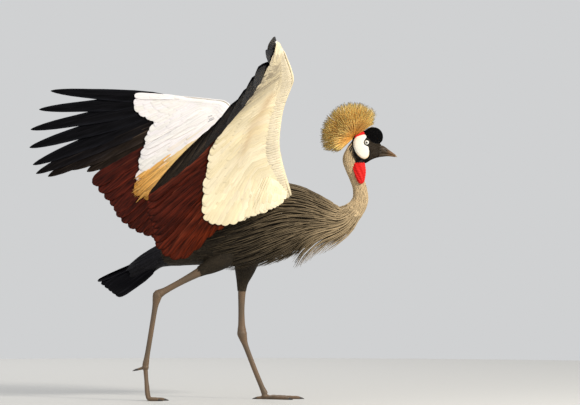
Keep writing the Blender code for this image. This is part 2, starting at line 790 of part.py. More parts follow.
def plume_pieces(collection):
    pieces = []
    for row, (start, end, first, last, count, lift, hang) in enumerate(PLUME_ROWS):
        for side in (-1.0, 1.0):
            for i in range(count):
                degrees = first + (last - first) * i / (count - 1)
                angle = math.radians(degrees) * side
                low = max(0.0, -math.cos(angle))
                length = 0.75 + 0.25 * math.sin(angle * side) + 0.2 * low
                tip = start + (end - start) * length
                rings = plume_rings(start, tip, angle, lift, hang * low, PLUME_WIDTH)
                pieces.append(loft_object("plume", rings, collection))
    return pieces


def build_torso(collection):
    torso = loft_object("torso", body_rings(torso_rows(), TORSO_SIDES), collection)
    boolean(torso, plume_pieces(collection), "UNION")
    return torso


def torso_cutter(collection, grow=JOINT_GAP):
    return loft_object("torso cutter", body_rings(torso_rows(), TORSO_SIDES, grow), collection)


def build_tail(collection):
    core = loft_object("tail", body_rings(TAIL_CORE, 14), collection)
    pieces = []
    for side in (-1.0, 1.0):
        for i in range(TAIL_PAIRS):
            u = i / (TAIL_PAIRS - 1)
            tip = Vector(TAIL_MIDDLE_TIP).lerp(Vector(TAIL_OUTER_TIP), u)
            root = Vector(TAIL_ROOT_TOP).lerp(Vector(TAIL_ROOT_SIDE), u)
            tip.y = (tip.y + TAIL_BOW * math.sin(math.pi * u)) * side
            root.y *= side
            face = Vector((0.45, side * (0.15 + 1.1 * u), 0.9)).normalized()
            outward = Vector((0.25, side, -1.3 * u))
            if side > 0.0:
                root.z += 0.0016 * (1.0 - u)
                tip.z += 0.0016 * (1.0 - u)
            rings = vane_rings(root, tip, face, outward, TAIL_FEATHER_WIDTH, SECONDARY_SHAPE,
                               FEATHER_THICKNESS, 0.015, math.radians(-7.0))
            pieces.append(loft_object("tail feather", rings, collection))
    boolean(core, pieces, "UNION")
    boolean(core, [torso_cutter(collection)], "DIFFERENCE")
    return core


# Head and neck.

def neck_rings(grow=0.0):
    """Rings of the neck, whose lowest one lies on the end face of the torso."""
    rings = body_rings(resample(NECK_SECTIONS, 12), NECK_SIDES, grow)
    last, end = body_rings(torso_rows(), TORSO_SIDES)[-2:]
    ahead = (sum(end, Vector()) - sum(last, Vector())).normalized()
    rings[0] = [point + ahead * JOINT_GAP for point in end]
    return rings


def build_neck(collection, head_cutter):
    neck = loft_object("neck", neck_rings(), collection)
    boolean(neck, [head_cutter], "DIFFERENCE")
    return neck


def lid(name, side, collection):
    """Ring of skin round the eye."""
    bm = bmesh.new()
    bmesh.ops.create_circle(bm, segments=5, radius=LID_THICKNESS,
                            matrix=Matrix.Translation((LID_RADIUS, 0.0, 0.0))
                            @ Matrix.Rotation(math.radians(90.0), 4, "X"))
    bmesh.ops.spin(bm, geom=bm.verts[:] + bm.edges[:], cent=(0.0, 0.0, 0.0),
                   axis=(0.0, 0.0, 1.0), angle=2.0 * math.pi, steps=10)
    bmesh.ops.remove_doubles(bm, verts=bm.verts[:], dist=0.00001)
    place = Vector(EYE_CENTRE)
    place.y = (place.y + math.sqrt(EYE_RADIUS ** 2 - LID_RADIUS ** 2) + 0.0004) * side
    bmesh.ops.transform(bm, verts=bm.verts[:], matrix=Matrix.Translation(place)
                        @ Matrix.Rotation(math.radians(90.0), 4, "X"))
    item = bpy.data.objects.new(name, finished_mesh(bm, name))
    collection.objects.link(item)
    return item


def eye_place(side):
    return (EYE_CENTRE[0], EYE_CENTRE[1] * side, EYE_CENTRE[2])


def build_head(collection):
    head = loft_object("head", head_rings(), collection)
    boolean(head, [lid("lid left", 1.0, collection), lid("lid right", -1.0, collection)], "UNION")
    eyes = [ellipsoid("socket", eye_place(side), (EYE_RADIUS,) * 3, collection,
                      EYE_SEGMENTS, EYE_ROWS, JOINT_GAP) for side in (-1.0, 1.0)]
    boolean(head, eyes, "DIFFERENCE")
    return head


def bill_rings(rows, grow=0.0):
    rings = []
    for x, top, low, half_width in rows:
        middle = (top + low) / 2.0
        half = (top - low) / 2.0 + grow
        rings.append([Vector((x, math.sin(a) * (half_width + grow), middle + math.cos(a) * half))
                      for a in [2.0 * math.pi * k / 12 for k in range(12)]])
    return rings


def build_bill(collection):
    upper = loft_object("bill_upper", bill_rings(BILL_UPPER_SECTIONS), collection)
    nostrils = []
    for side in (-1.0, 1.0):
        place = (NOSTRIL_PLACE[0], side * 0.0078, NOSTRIL_PLACE[2])
        radii = (NOSTRIL_SIZE[0] / 2.0, NOSTRIL_SIZE[1], NOSTRIL_SIZE[2] / 2.0)
        nostrils.append(ellipsoid("nostril", place, radii, collection, 8, 6))
    boolean(upper, nostrils, "DIFFERENCE")
    boolean(upper, [loft_object("cut", head_rings(JOINT_GAP), collection)], "DIFFERENCE")
    lower = loft_object("bill_lower", bill_rings(BILL_LOWER_SECTIONS), collection)
    boolean(lower, [loft_object("cut", head_rings(JOINT_GAP), collection)], "DIFFERENCE")
    boolean(lower, [loft_object("cut", bill_rings(BILL_UPPER_SECTIONS, JOINT_GAP), collection)],
            "DIFFERENCE")
    return upper, lower


def build_cap(collection):
    cap = ellipsoid("cap", CAP_CENTRE, CAP_RADII, collection, 16, 10)
    boolean(cap, [loft_object("cut", head_rings(JOINT_GAP), collection)], "DIFFERENCE")
    boolean(cap, [loft_object("cut", bill_rings(BILL_UPPER_SECTIONS, JOINT_GAP), collection)],
            "DIFFERENCE")
    for side in (-1.0, 1.0):
        boolean(cap, [ellipsoid("cut", eye_place(side), (EYE_RADIUS,) * 3, collection,
                                EYE_SEGMENTS, EYE_ROWS, JOINT_GAP)], "DIFFERENCE")
    return cap


def build_wattle(collection):
    rings = []
    for x, y, z, half_depth, half_thickness in resample(WATTLE_SECTIONS, 9):
        rings.append([Vector((x + math.cos(a) * half_depth, y + math.sin(a) * half_thickness, z))
                      for a in [2.0 * math.pi * k / 12 for k in range(12)]])
    wattle = loft_object("wattle", rings, collection)
    boolean(wattle, [loft_object("cut", head_rings(JOINT_GAP), collection)], "DIFFERENCE")
    boolean(wattle, [loft_object("cut", neck_rings(JOINT_GAP), collection)], "DIFFERENCE")
    return wattle


def crest_directions():
    """Directions spread evenly over the crest's fan, as pitch and yaw."""
    directions = []
    golden = math.pi * (3.0 - math.sqrt(5.0))
    middle = (CREST_FRONT_ANGLE + CREST_BACK_ANGLE) / 2.0
    half = (CREST_BACK_ANGLE - CREST_FRONT_ANGLE) / 2.0
    for i in range(CREST_BRISTLES):
        radius = math.sqrt((i + 0.5) / CREST_BRISTLES)
        turn = i * golden
        pitch = middle + half * radius * math.cos(turn)
        yaw = CREST_SIDE_SPREAD * radius * math.sin(turn)
        length = CREST_REACH * (1.0 - 0.10 * radius ** 6)
        if pitch > math.radians(200.0):
            length *= 1.0 - 0.9 * (pitch - math.radians(200.0))
        directions.append((pitch, yaw, length))
    return directions


def build_crest(collection):
    crest = ellipsoid("crest", CREST_FOCUS, (CREST_PAD_RADIUS,) * 3, collection, 12, 8)
    pieces = []
    focus = Vector(CREST_FOCUS)
    for pitch, yaw, length in crest_directions():
        heading = Vector((math.cos(pitch) * math.cos(yaw), math.sin(yaw),
                          math.sin(pitch) * math.cos(yaw)))
        bristle = length - CREST_PAD_RADIUS * 0.80
        bm = bmesh.new()
        bmesh.ops.create_cone(bm, cap_ends=True, segments=3, radius1=BRISTLE_RADIUS,
                              radius2=0.0, depth=bristle)
        turn = heading.to_track_quat("Z", "Y").to_matrix().to_4x4()
        middle = focus + heading * (length - bristle / 2.0)
        bmesh.ops.transform(bm, verts=bm.verts[:], matrix=Matrix.Translation(middle) @ turn)
        item = bpy.data.objects.new("bristle", finished_mesh(bm, "bristle"))
        collection.objects.link(item)
        pieces.append(item)
    boolean(crest, pieces, "UNION")
    boolean(crest, [loft_object("cut", head_rings(JOINT_GAP), collection)], "DIFFERENCE")
    boolean(crest, [loft_object("cut", neck_rings(JOINT_GAP), collection)], "DIFFERENCE")
    boolean(crest, [ellipsoid("cut", CAP_CENTRE, CAP_RADII, collection, 16, 10, JOINT_GAP)],
            "DIFFERENCE")
    return crest


# Legs.

def build_shank(name, rows, collection):
    shank = loft_object(name, tube_rings(resample(rows, 11), LEG_SIDES), collection)
    boolean(shank, [torso_cutter(collection)], "DIFFERENCE")
    return shank


def build_tarsus(name, rows, shank_rows, collection):
    tarsus = loft_object(name, tube_rings(resample(rows, 11), LEG_SIDES), collection)
    cutter = tube_rings(resample(shank_rows, 11), LEG_SIDES, JOINT_GAP)
    boolean(tarsus, [loft_object("cut", cutter, collection)], "DIFFERENCE")
    return tarsus


def toe_rows(start, toe, lifted):
    """Centre line of one toe, with its pad ends and claw, flat on the floor at its end."""
    length = TOE_LENGTHS[toe]
    angle = math.radians(TOE_ANGLES[toe])
    heading = Vector((math.cos(angle), math.sin(angle), 0.0))
    radius = TOE_RADIUS * (0.8 if toe == 3 else 1.0)
    rows = []
    if lifted and toe == 3:
        for t, size in ((0.0, 1.0), (0.6, 0.8), (1.0, 0.6), (1.4, 0.15)):
            place = start + heading * length * t + Vector((0.0, 0.0, -0.25 * length * t))
            rows.append((*place, radius * size))
        return rows
    steps = ((0.0, 1.1), (0.22, 0.9), (0.45, 1.0), (0.68, 0.85), (0.92, 0.85), (1.02, 0.5),
             (1.16, 0.12))
    for t, size in steps:
        if lifted:
            drop = min(1.0, t / 0.62)
            height = start.z * (1.0 - drop) ** 1.15
            forward = length * (0.16 * t + 0.80 * max(0.0, t - 0.52))
            sideways = math.sin(angle) * length * 0.55 * t
            place = Vector((start.x + forward * math.cos(angle), start.y + sideways, height))
        else:
            place = start + heading * length * t
            place.z = start.z * (1.0 - min(1.0, t / 0.3))
        place.z = max(place.z, radius * size * 0.86)
        rows.append((*place, radius * size))
    return rows


def build_foot(name, tarsus_rows, lifted, collection):
    """Four toes that grow from the foot joint, each flat where it meets the floor."""
    end = tarsus_rows[-1]
    start = Vector(end[:3]) + Vector((0.0, 0.0, -0.004 if lifted else -0.0055))
    foot = ellipsoid(name, start, (0.0095, 0.0100, 0.0085), collection, 10, 6)
    pieces = [loft_object("toe", tube_rings(toe_rows(start, toe, lifted), 6), collection)
              for toe in range(4)]
    boolean(foot, pieces, "UNION")
    cutter = tube_rings(resample(tarsus_rows, 11), LEG_SIDES, JOINT_GAP)
    boolean(foot, [loft_object("cut", cutter, collection)], "DIFFERENCE")
    boolean(foot, [box("floor", (-0.5, -0.5, -0.1), (0.6, 0.5, 0.0), collection)], "DIFFERENCE")
    return foot


def finish_part(item, carrier, material):
    item.data.materials.clear()
    item.data.materials.append(material)
    item.data.shade_smooth()
    item.data.set_sharp_from_angle(angle=math.radians(40.0))
    item.parent = carrier


def main():
    remove_scene_objects()
    bird = new_collection("grey crowned crane")
    carrier = bpy.data.objects.new("bird frame", None)
    carrier.location = FRAME_SHIFT
    bird.objects.link(carrier)
    slate = principled("slate plumage", (0.045, 0.044, 0.046), 0.75)
    pale = principled("pale neck plumage", (0.52, 0.46, 0.38), 0.8)
    wing = principled("wing feathers", (0.62, 0.58, 0.50), 0.65)
    quill = principled("dark primaries", (0.02, 0.02, 0.022), 0.45)
    straw = principled("straw crest", (0.62, 0.42, 0.17), 0.6)
    velvet = principled("black velvet cap", (0.008, 0.008, 0.009), 0.9)
    face = principled("bare face", (0.82, 0.79, 0.74), 0.6)
    red = principled("red wattle", (0.72, 0.03, 0.03), 0.5)
    horn = principled("grey horn", (0.09, 0.085, 0.08), 0.4)
    iris = principled("pale iris", (0.72, 0.76, 0.78), 0.15)
    scale = principled("grey-brown leg scales", (0.26, 0.20, 0.17), 0.65)

    parts = []
    parts.append((build_torso(bird), slate))
    parts.append((build_tail(bird), quill))
    parts.append((build_neck(bird, loft_object("cut", head_rings(JOINT_GAP), bird)), pale))
    parts.append((build_head(bird), face))
    upper, lower = build_bill(bird)
    parts.append((upper, horn))
    parts.append((lower, horn))
    parts.append((build_cap(bird), velvet))
    parts.append((build_wattle(bird), red))
    parts.append((build_crest(bird), straw))
    for side, label in ((1.0, "left"), (-1.0, "right")):
        eye = ellipsoid("eye_" + label, eye_place(side), (EYE_RADIUS,) * 3, bird,
                        EYE_SEGMENTS, EYE_ROWS)
        parts.append((eye, iris))
    for label, places in (("left", LEFT_WING), ("right", RIGHT_WING)):
        parts.append((build_wing_arm("wing_" + label + "_arm", places, torso_cutter(bird), bird),
                      wing))
        parts.append((build_wing_hand("wing_" + label + "_hand", places, bird), quill))
    for label, shank, tarsus, lifted in (("left", LEFT_SHANK, LEFT_TARSUS, False),
                                         ("right", RIGHT_SHANK, RIGHT_TARSUS, True)):
        parts.append((build_shank("shank_" + label, shank, bird), scale))
        parts.append((build_tarsus("tarsus_" + label, tarsus, shank, bird), scale))
        parts.append((build_foot("foot_" + label, tarsus, lifted, bird), scale))
    for item, material in parts:
        finish_part(item, carrier, material)


main()
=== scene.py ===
"""A grey crowned crane at life size, walking with both wings raised: its looks.

The bird faces +X and its left side is +Y. Every piece is worked out in the bird's
own frame, in metres, and BIRD_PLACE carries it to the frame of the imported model.
"""
import math

import bmesh
import bpy
import numpy as np
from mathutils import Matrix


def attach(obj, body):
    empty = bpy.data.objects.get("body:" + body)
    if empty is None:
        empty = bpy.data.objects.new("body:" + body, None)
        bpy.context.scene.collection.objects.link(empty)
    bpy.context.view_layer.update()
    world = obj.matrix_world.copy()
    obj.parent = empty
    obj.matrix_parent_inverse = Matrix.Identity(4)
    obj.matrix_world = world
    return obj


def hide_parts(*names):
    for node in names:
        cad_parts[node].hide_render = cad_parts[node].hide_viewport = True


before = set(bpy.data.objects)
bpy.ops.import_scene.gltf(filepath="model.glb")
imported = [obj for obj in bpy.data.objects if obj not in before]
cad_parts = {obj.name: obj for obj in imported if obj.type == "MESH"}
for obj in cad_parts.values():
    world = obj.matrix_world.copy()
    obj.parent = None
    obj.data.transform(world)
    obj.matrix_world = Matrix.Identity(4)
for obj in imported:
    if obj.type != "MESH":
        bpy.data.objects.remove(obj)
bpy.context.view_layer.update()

# Flesh of the trunk: one slim egg from the rump to the shoulders that runs on into
# the bent neck. It is bare skin under the coat, and lies deeper than the tips of
# the feathers that grow from it.
BIRD_PLACE = np.array((0.0, 0.204, 0.0))
TRUNK_ROWS = (
    # forward place, height of the middle, half height, half width
    (-0.158, 0.398, 0.016, 0.018),
    (-0.145, 0.402, 0.026, 0.027),
    (-0.110, 0.414, 0.039, 0.042),
    (-0.059, 0.430, 0.053, 0.058),
    (-0.004, 0.447, 0.075, 0.070),
    (0.067, 0.469, 0.093, 0.078),
    (0.131, 0.492, 0.100, 0.080),
    (0.187, 0.508, 0.098, 0.075),
    (0.234, 0.514, 0.085, 0.065),
    (0.277, 0.512, 0.068, 0.053),
    (0.312, 0.507, 0.054, 0.042),
    (0.341, 0.503, 0.044, 0.034),
    (0.367, 0.506, 0.036, 0.029),
    (0.389, 0.520, 0.029, 0.025),
    (0.402, 0.533, 0.026, 0.023),
    (0.4115, 0.546, 0.0240, 0.0210),
    (0.418, 0.566, 0.0215, 0.0190),
    (0.415, 0.596, 0.0190, 0.0170),
    (0.405, 0.624, 0.0185, 0.0162),
    (0.395, 0.650, 0.0195, 0.0165),
    (0.388, 0.675, 0.0200, 0.0165),
    (0.3925, 0.699, 0.0140, 0.0150),
    (0.4010, 0.715, 0.0115, 0.0125),
    (0.4070, 0.730, 0.0095, 0.0100),
    (0.4120, 0.742, 0.0060, 0.0065),
)
COAT_DEPTH = 0.0060
NECK_COAT_DEPTH = 0.0013
SKIN_VOXEL = 0.0031


def unit(vectors):
    return vectors / np.maximum(np.linalg.norm(vectors, axis=-1, keepdims=True), 1e-12)


def smoothstep(low, high, value):
    part = np.clip((value - low) / (high - low), 0.0, 1.0)
    return part * part * (3.0 - 2.0 * part)


def run_through(points, u):
    """Places at fractions u of a smooth run through evenly numbered points."""
    points = np.asarray(points, float)
    last = len(points) - 1
    place = np.clip(np.asarray(u, float), 0.0, 1.0) * last
    i = np.minimum(place.astype(int), last - 1)
    t = (place - i)[..., None]
    p1 = points[i]
    p2 = points[i + 1]
    p0 = np.where((i > 0)[..., None], points[np.maximum(i - 1, 0)], 2.0 * p1 - p2)
    p3 = np.where((i + 2 <= last)[..., None], points[np.minimum(i + 2, last)], 2.0 * p2 - p1)
    curve = 2.0 * p1 + (p2 - p0) * t + (2.0 * p0 - 5.0 * p1 + 4.0 * p2 - p3) * t ** 2
    return 0.5 * (curve + (3.0 * p1 - p0 - 3.0 * p2 + p3) * t ** 3)


def even_rows(rows, count, axes):
    """Rows at equal distances along a smooth run through rows, and its length."""
    fine = run_through(rows, np.linspace(0.0, 1.0, 24 * len(rows)))
    steps = np.linalg.norm(np.diff(fine[:, :axes], axis=0), axis=1)
    travelled = np.concatenate([[0.0], np.cumsum(steps)])
    wanted = np.linspace(0.0, travelled[-1], count)
    columns = [np.interp(wanted, travelled, column) for column in fine.T]
    return np.stack(columns, 1), travelled[-1]


def trunk_grid(rows, sides, depth):
    """Oval rings round the spine. Angle 0 is the back and half a turn the belly."""
    ahead = np.gradient(rows[:, :2], axis=0)
    ahead = unit(ahead)[:, None, :]
    angle = np.arange(sides) * 2.0 * math.pi / sides
    up = np.cos(angle)[None] * (rows[:, 2:3] - depth)
    out = np.sin(angle)[None] * (rows[:, 3:4] - depth)
    x = rows[:, 0:1] - ahead[..., 1] * up
    z = rows[:, 1:2] + ahead[..., 0] * up
    return np.stack([x, out, z], -1)


class Sheet:
    """A smooth surface as a grid of places, read at fractions a and b of its two ways."""

    def __init__(self, grid, closed, facing):
        self.grid = np.concatenate([grid, grid[:, :1]], 1) if closed else grid
        self.closed = closed
        self.facing = facing

    def read(self, a, b):
        rows, columns = self.grid.shape[:2]
        b = b % 1.0 if self.closed else np.clip(b, 0.0, 1.0)
        x = np.clip(a, 0.0, 1.0) * (rows - 1)
        y = b * (columns - 1)
        i = np.minimum(x.astype(int), rows - 2)
        j = np.minimum(y.astype(int), columns - 2)
        x = (x - i)[..., None]
        y = (y - j)[..., None]
        near = self.grid[i, j] * (1.0 - y) + self.grid[i, j + 1] * y
        far = self.grid[i + 1, j] * (1.0 - y) + self.grid[i + 1, j + 1] * y
        return near * (1.0 - x) + far * x

    def normal(self, a, b):
        step = 0.008
        along = self.read(np.minimum(a + step, 1.0), b) - self.read(np.maximum(a - step, 0.0), b)
        if self.closed:
            across = self.read(a, b + step) - self.read(a, b - step)
        else:
            across = self.read(a, np.minimum(b + step, 1.0))
            across = across - self.read(a, np.maximum(b - step, 0.0))
        return unit(np.cross(along, across)) * self.facing


trunk_rows, TRUNK_LENGTH = even_rows(TRUNK_ROWS, 240, 2)
TRUNK = Sheet(trunk_grid(trunk_rows, 72, 0.0), True, 1.0)


def trunk_fraction(x, z):
    """How far along the trunk the cross-section nearest to a place lies."""
    return float(np.argmin(np.hypot(trunk_rows[:, 0] - x, trunk_rows[:, 1] - z))) / 239.0


NECK_START = trunk_fraction(0.402, 0.533)


def shell(bm, rings):
    """Closed skin through rings of equally many places."""
    loops = [[bm.verts.new(place) for place in ring] for ring in rings]
    for low, high in zip(loops, loops[1:]):
        for i in range(len(low)):
            j = (i + 1) % len(low)
            bm.faces.new((low[i], low[j], high[j], high[i]))
    bm.faces.new(tuple(reversed(loops[0])))
    bm.faces.new(tuple(loops[-1]))


def placed_object(name, bm):
    """The piece's object, at the origin, with its place in its mesh."""
    bmesh.ops.translate(bm, verts=bm.verts[:], vec=BIRD_PLACE)
    bmesh.ops.recalc_face_normals(bm, faces=bm.faces[:])
    mesh = bpy.data.meshes.new(name)
    bm.to_mesh(mesh)
    bm.free()
    mesh.shade_smooth()
    item = bpy.data.objects.new(name, mesh)
    bpy.context.scene.collection.objects.link(item)
    return item


def settle(item):
    """Bakes an object's modifiers into its mesh."""
    graph = bpy.context.evaluated_depsgraph_get()
    mesh = bpy.data.meshes.new_from_object(item.evaluated_get(graph))
    item.modifiers.clear()
    item.data = mesh
    mesh.shade_smooth()


def melted(name, shells, voxel, rounds):
    """One smooth skin round overlapping closed shells."""
    bm = bmesh.new()
    for rings in shells:
        shell(bm, rings)
    bmesh.ops.recalc_face_normals(bm, faces=bm.faces[:])
    item = placed_object(name, bm)
    melt = item.modifiers.new("melt", "REMESH")
    melt.mode = "VOXEL"
    melt.voxel_size = voxel
    soften = item.modifiers.new("soften", "SMOOTH")
    soften.factor = 0.5
    soften.iterations = rounds
    settle(item)
    return item


def tube(rows, sides, shrink):
    """Rings across a centre line of (x, y, z, radius) rows."""
    rows = np.asarray(rows, float)
    ahead = unit(np.gradient(rows[:, :3], axis=0))
    side = unit(np.array((0.0, 1.0, 0.0)) - ahead * ahead[:, 1:2])
    up = np.cross(side, ahead)
    angle = np.arange(sides) * 2.0 * math.pi / sides
    radius = (rows[:, 3] - shrink)[:, None, None]
    return rows[:, None, :3] + radius * (up[:, None] * np.cos(angle)[None, :, None]
                                         + side[:, None] * np.sin(angle)[None, :, None])


THIGH_ROWS = {
    # forward place, sideways place, height, radius
    "right": ((0.062, -0.030, 0.440, 0.036), (0.030, -0.037, 0.400, 0.030),
              (0.002, -0.043, 0.379, 0.022), (-0.022, -0.0480, 0.3660, 0.0150),
              (-0.046, -0.050, 0.3540, 0.0110)),
    "left": ((0.112, 0.036, 0.440, 0.040), (0.100, 0.044, 0.395, 0.035),
             (0.093, 0.047, 0.360, 0.026), (0.087, 0.049, 0.328, 0.0150),
             (0.085, 0.050, 0.303, 0.0104)),
}
TAIL_FLESH_ROWS = ((-0.100, 0.0, 0.410, 0.028), (-0.135, 0.0, 0.403, 0.024),
                   (-0.165, 0.0, 0.389, 0.020), (-0.190, 0.0, 0.374, 0.012))


def trunk_skin_rings():
    rows = trunk_rows[::3]
    neck = smoothstep(NECK_START - 0.05, NECK_START, np.linspace(0.0, 1.0, len(rows)))
    depth = COAT_DEPTH + (NECK_COAT_DEPTH - COAT_DEPTH) * neck
    return trunk_grid(rows, 40, depth[:, None])


# Feathered wing arms and hands: the limbs under the plumage, each a thin aerofoil
# from the shoulder to the wrist and on to the tip of the hand. All long feathers
# are rooted in their rear edge.
WING_THICKNESS = (0.040, 0.031, 0.028, 0.025, 0.022, 0.020, 0.018, 0.0165, 0.0145, 0.0130,
                  0.0095)
AEROFOIL = ((0.0, 0.30), (0.10, 0.80), (0.40, 1.0), (1.0, 0.22))
ROOT_CHORD = 0.66
HAND_FIRST = 6.75
HAND_LAST = 9.45
ARM_FIRST = 5.40
ARM_LAST = 1.3
FEATHER_ARCH = 0.035


def reach(root, x, z, length):
    """Distance from the mid plane of a tip whose feather has a given length."""
    flat = math.hypot(x - root[0], z - root[1])
    return root[2] + math.sqrt(max(length * length - flat * flat, 0.0))


RIGHT_PRIMARY_ROOTS = ((0.1673, 0.8848, 0.195), (0.1911, 0.9688, 0.275))
RIGHT_PRIMARY_TIPS = (
    (-0.166, 0.582, 0.457), (-0.135, 0.605, 0.460), (-0.099, 0.630, 0.465),
    (-0.060, 0.661, 0.470), (-0.012, 0.714, 0.475), (0.047, 0.773, 0.480),
    (0.089, 0.826, 0.485), (0.1225, 0.876, 0.480), (0.1600, 0.955, 0.455),
    (0.1757, 1.012, 0.385),
)


def right_primary_rows():
    roots = np.linspace(RIGHT_PRIMARY_ROOTS[0], RIGHT_PRIMARY_ROOTS[1], len(RIGHT_PRIMARY_TIPS))
    return [(x, z, reach(root, x, z, length))
            for root, (x, z, length) in zip(roots, RIGHT_PRIMARY_TIPS)]


def band(value, rows):
    """Straight interpolation in rows of (value, result)."""
    at, result = np.array(rows).T
    return np.interp(value, at, result)


class Wing:
    """One wing: rows of (x, z, distance from the mid plane) and what follows from them.

    side is -1 for the right wing. A station runs from 0 at the shoulder to 10 at
    the hand's end, and u from 0 to 1 over the flight feathers of arm or hand.
    """

    def __init__(self, side, lead, trail, primary_tips, secondary_tips):
        self.side = side
        self.lead, self.trail, self.primary_tips, self.secondary_tips = [
            np.array([(x, side * y, z) for x, z, y in rows])
            for rows in (lead, trail, primary_tips, secondary_tips)]

    def upper(self, face):
        """The face's normal, turned to the wing's upper side."""
        towards = np.array((-0.25, -self.side * 0.9, 0.45))
        return face * np.sign(face @ towards)[..., None]

    def edges(self, station):
        u = station / (len(self.lead) - 1.0)
        return run_through(self.lead, u), run_through(self.trail, u)

    def root(self, hand, u):
        station = HAND_FIRST + (HAND_LAST - HAND_FIRST) * u if hand else (
            ARM_FIRST + (ARM_LAST - ARM_FIRST) * u)
        lead, trail = self.edges(station)
        return lead + (trail - lead) * ROOT_CHORD

    def flight(self, hand, u, s):
        """Middle of the flight feather at u, at fraction s of its length."""
        tips = self.primary_tips if hand else self.secondary_tips
        root = self.root(hand, u)
        quill = run_through(tips, u) - root
        low = np.clip(u - 0.05, 0.0, 1.0)
        high = np.clip(u + 0.05, 0.0, 1.0)
        outward = self.root(hand, high) + run_through(tips, high)
        outward = outward - self.root(hand, low) - run_through(tips, low)
        face = self.upper(unit(np.cross(unit(quill), unit(outward))))
        length = np.linalg.norm(quill, axis=-1, keepdims=True)
        s = s[..., None]
        return root + quill * s + face * FEATHER_ARCH * length * 4.0 * s * (1.0 - s)

    def flesh_rings(self, stations, fill):
        """Rings of the limb's aerofoil, only as far back as the quills' roots."""
        rings = []
        outline = [(c, band(c, AEROFOIL)) for c in (0.03, 0.10, 0.25, 0.40, 0.55, 0.72)]
        for station in stations:
            lead, trail = self.edges(np.array(station))
            before = self.edges(np.array(max(station - 0.5, 0.0)))
            after = self.edges(np.array(min(station + 0.5, 10.0)))
            span = sum(after) - sum(before)
            face = self.upper(unit(np.cross(trail - lead, span)))
            half = np.interp(station, range(11), WING_THICKNESS) / 2.0 * fill
            ring = [lead + (trail - lead) * c + face * half * h for c, h in outline]
            ring += [lead + (trail - lead) * c - face * half * h * 0.85
                     for c, h in reversed(outline)]
            rings.append(ring)
        return np.array(rings)


RIGHT_WING = Wing(
    -1,
    lead=((0.226, 0.571, 0.030), (0.220, 0.599, 0.078), (0.204, 0.655, 0.106),
          (0.193, 0.711, 0.130), (0.195, 0.764, 0.150), (0.204, 0.820, 0.166),
          (0.223, 0.874, 0.182), (0.231, 0.898, 0.200), (0.226, 0.923, 0.218),
          (0.215, 0.950, 0.246), (0.2045, 0.9745, 0.282)),
    trail=((0.159, 0.543, 0.040), (0.131, 0.582, 0.092), (0.089, 0.627, 0.126),
           (0.069, 0.678, 0.150), (0.080, 0.734, 0.166), (0.106, 0.792, 0.182),
           (0.156, 0.854, 0.194), (0.164, 0.885, 0.206), (0.170, 0.916, 0.226),
           (0.181, 0.946, 0.250), (0.1900, 0.9720, 0.284)),
    primary_tips=right_primary_rows(),
    secondary_tips=((-0.170, 0.563, 0.206), (-0.174, 0.529, 0.192), (-0.163, 0.498, 0.179),
                    (-0.156, 0.465, 0.167), (-0.149, 0.430, 0.155), (-0.116, 0.400, 0.144),
                    (-0.076, 0.406, 0.134), (-0.020, 0.462, 0.126), (0.035, 0.494, 0.119),
                    (0.095, 0.512, 0.113), (0.145, 0.526, 0.107), (0.178, 0.546, 0.100)))

LEFT_WING = Wing(
    1,
    lead=((0.220, 0.580, 0.030), (0.195, 0.608, 0.085), (0.164, 0.650, 0.130),
          (0.128, 0.706, 0.175), (0.097, 0.759, 0.215), (0.069, 0.804, 0.250),
          (0.041, 0.833, 0.280), (0.005, 0.840, 0.286), (-0.032, 0.844, 0.290),
          (-0.071, 0.847, 0.293), (-0.088, 0.848, 0.294)),
    trail=((0.153, 0.543, 0.040), (0.114, 0.571, 0.095), (0.069, 0.605, 0.140),
           (0.030, 0.658, 0.175), (-0.001, 0.720, 0.210), (-0.023, 0.770, 0.243),
           (-0.009, 0.800, 0.270), (-0.034, 0.808, 0.276), (-0.060, 0.820, 0.283),
           (-0.085, 0.8345, 0.289), (-0.0935, 0.8415, 0.292)),
    primary_tips=((-0.324, 0.631, 0.275), (-0.356, 0.636, 0.280), (-0.401, 0.641, 0.285),
                  (-0.467, 0.622, 0.292), (-0.501, 0.630, 0.298), (-0.510, 0.655, 0.304),
                  (-0.520, 0.704, 0.312), (-0.517, 0.755, 0.318), (-0.493, 0.812, 0.322),
                  (-0.460, 0.865, 0.318)),
    secondary_tips=((-0.340, 0.602, 0.268), (-0.309, 0.566, 0.252), (-0.282, 0.535, 0.238),
                    (-0.268, 0.508, 0.224), (-0.237, 0.480, 0.206), (-0.200, 0.462, 0.188),
                    (-0.160, 0.450, 0.168), (-0.110, 0.446, 0.148), (-0.050, 0.460, 0.132),
                    (0.020, 0.486, 0.120), (0.090, 0.512, 0.112), (0.150, 0.540, 0.104)))

WINGS = {"left": LEFT_WING, "right": RIGHT_WING}


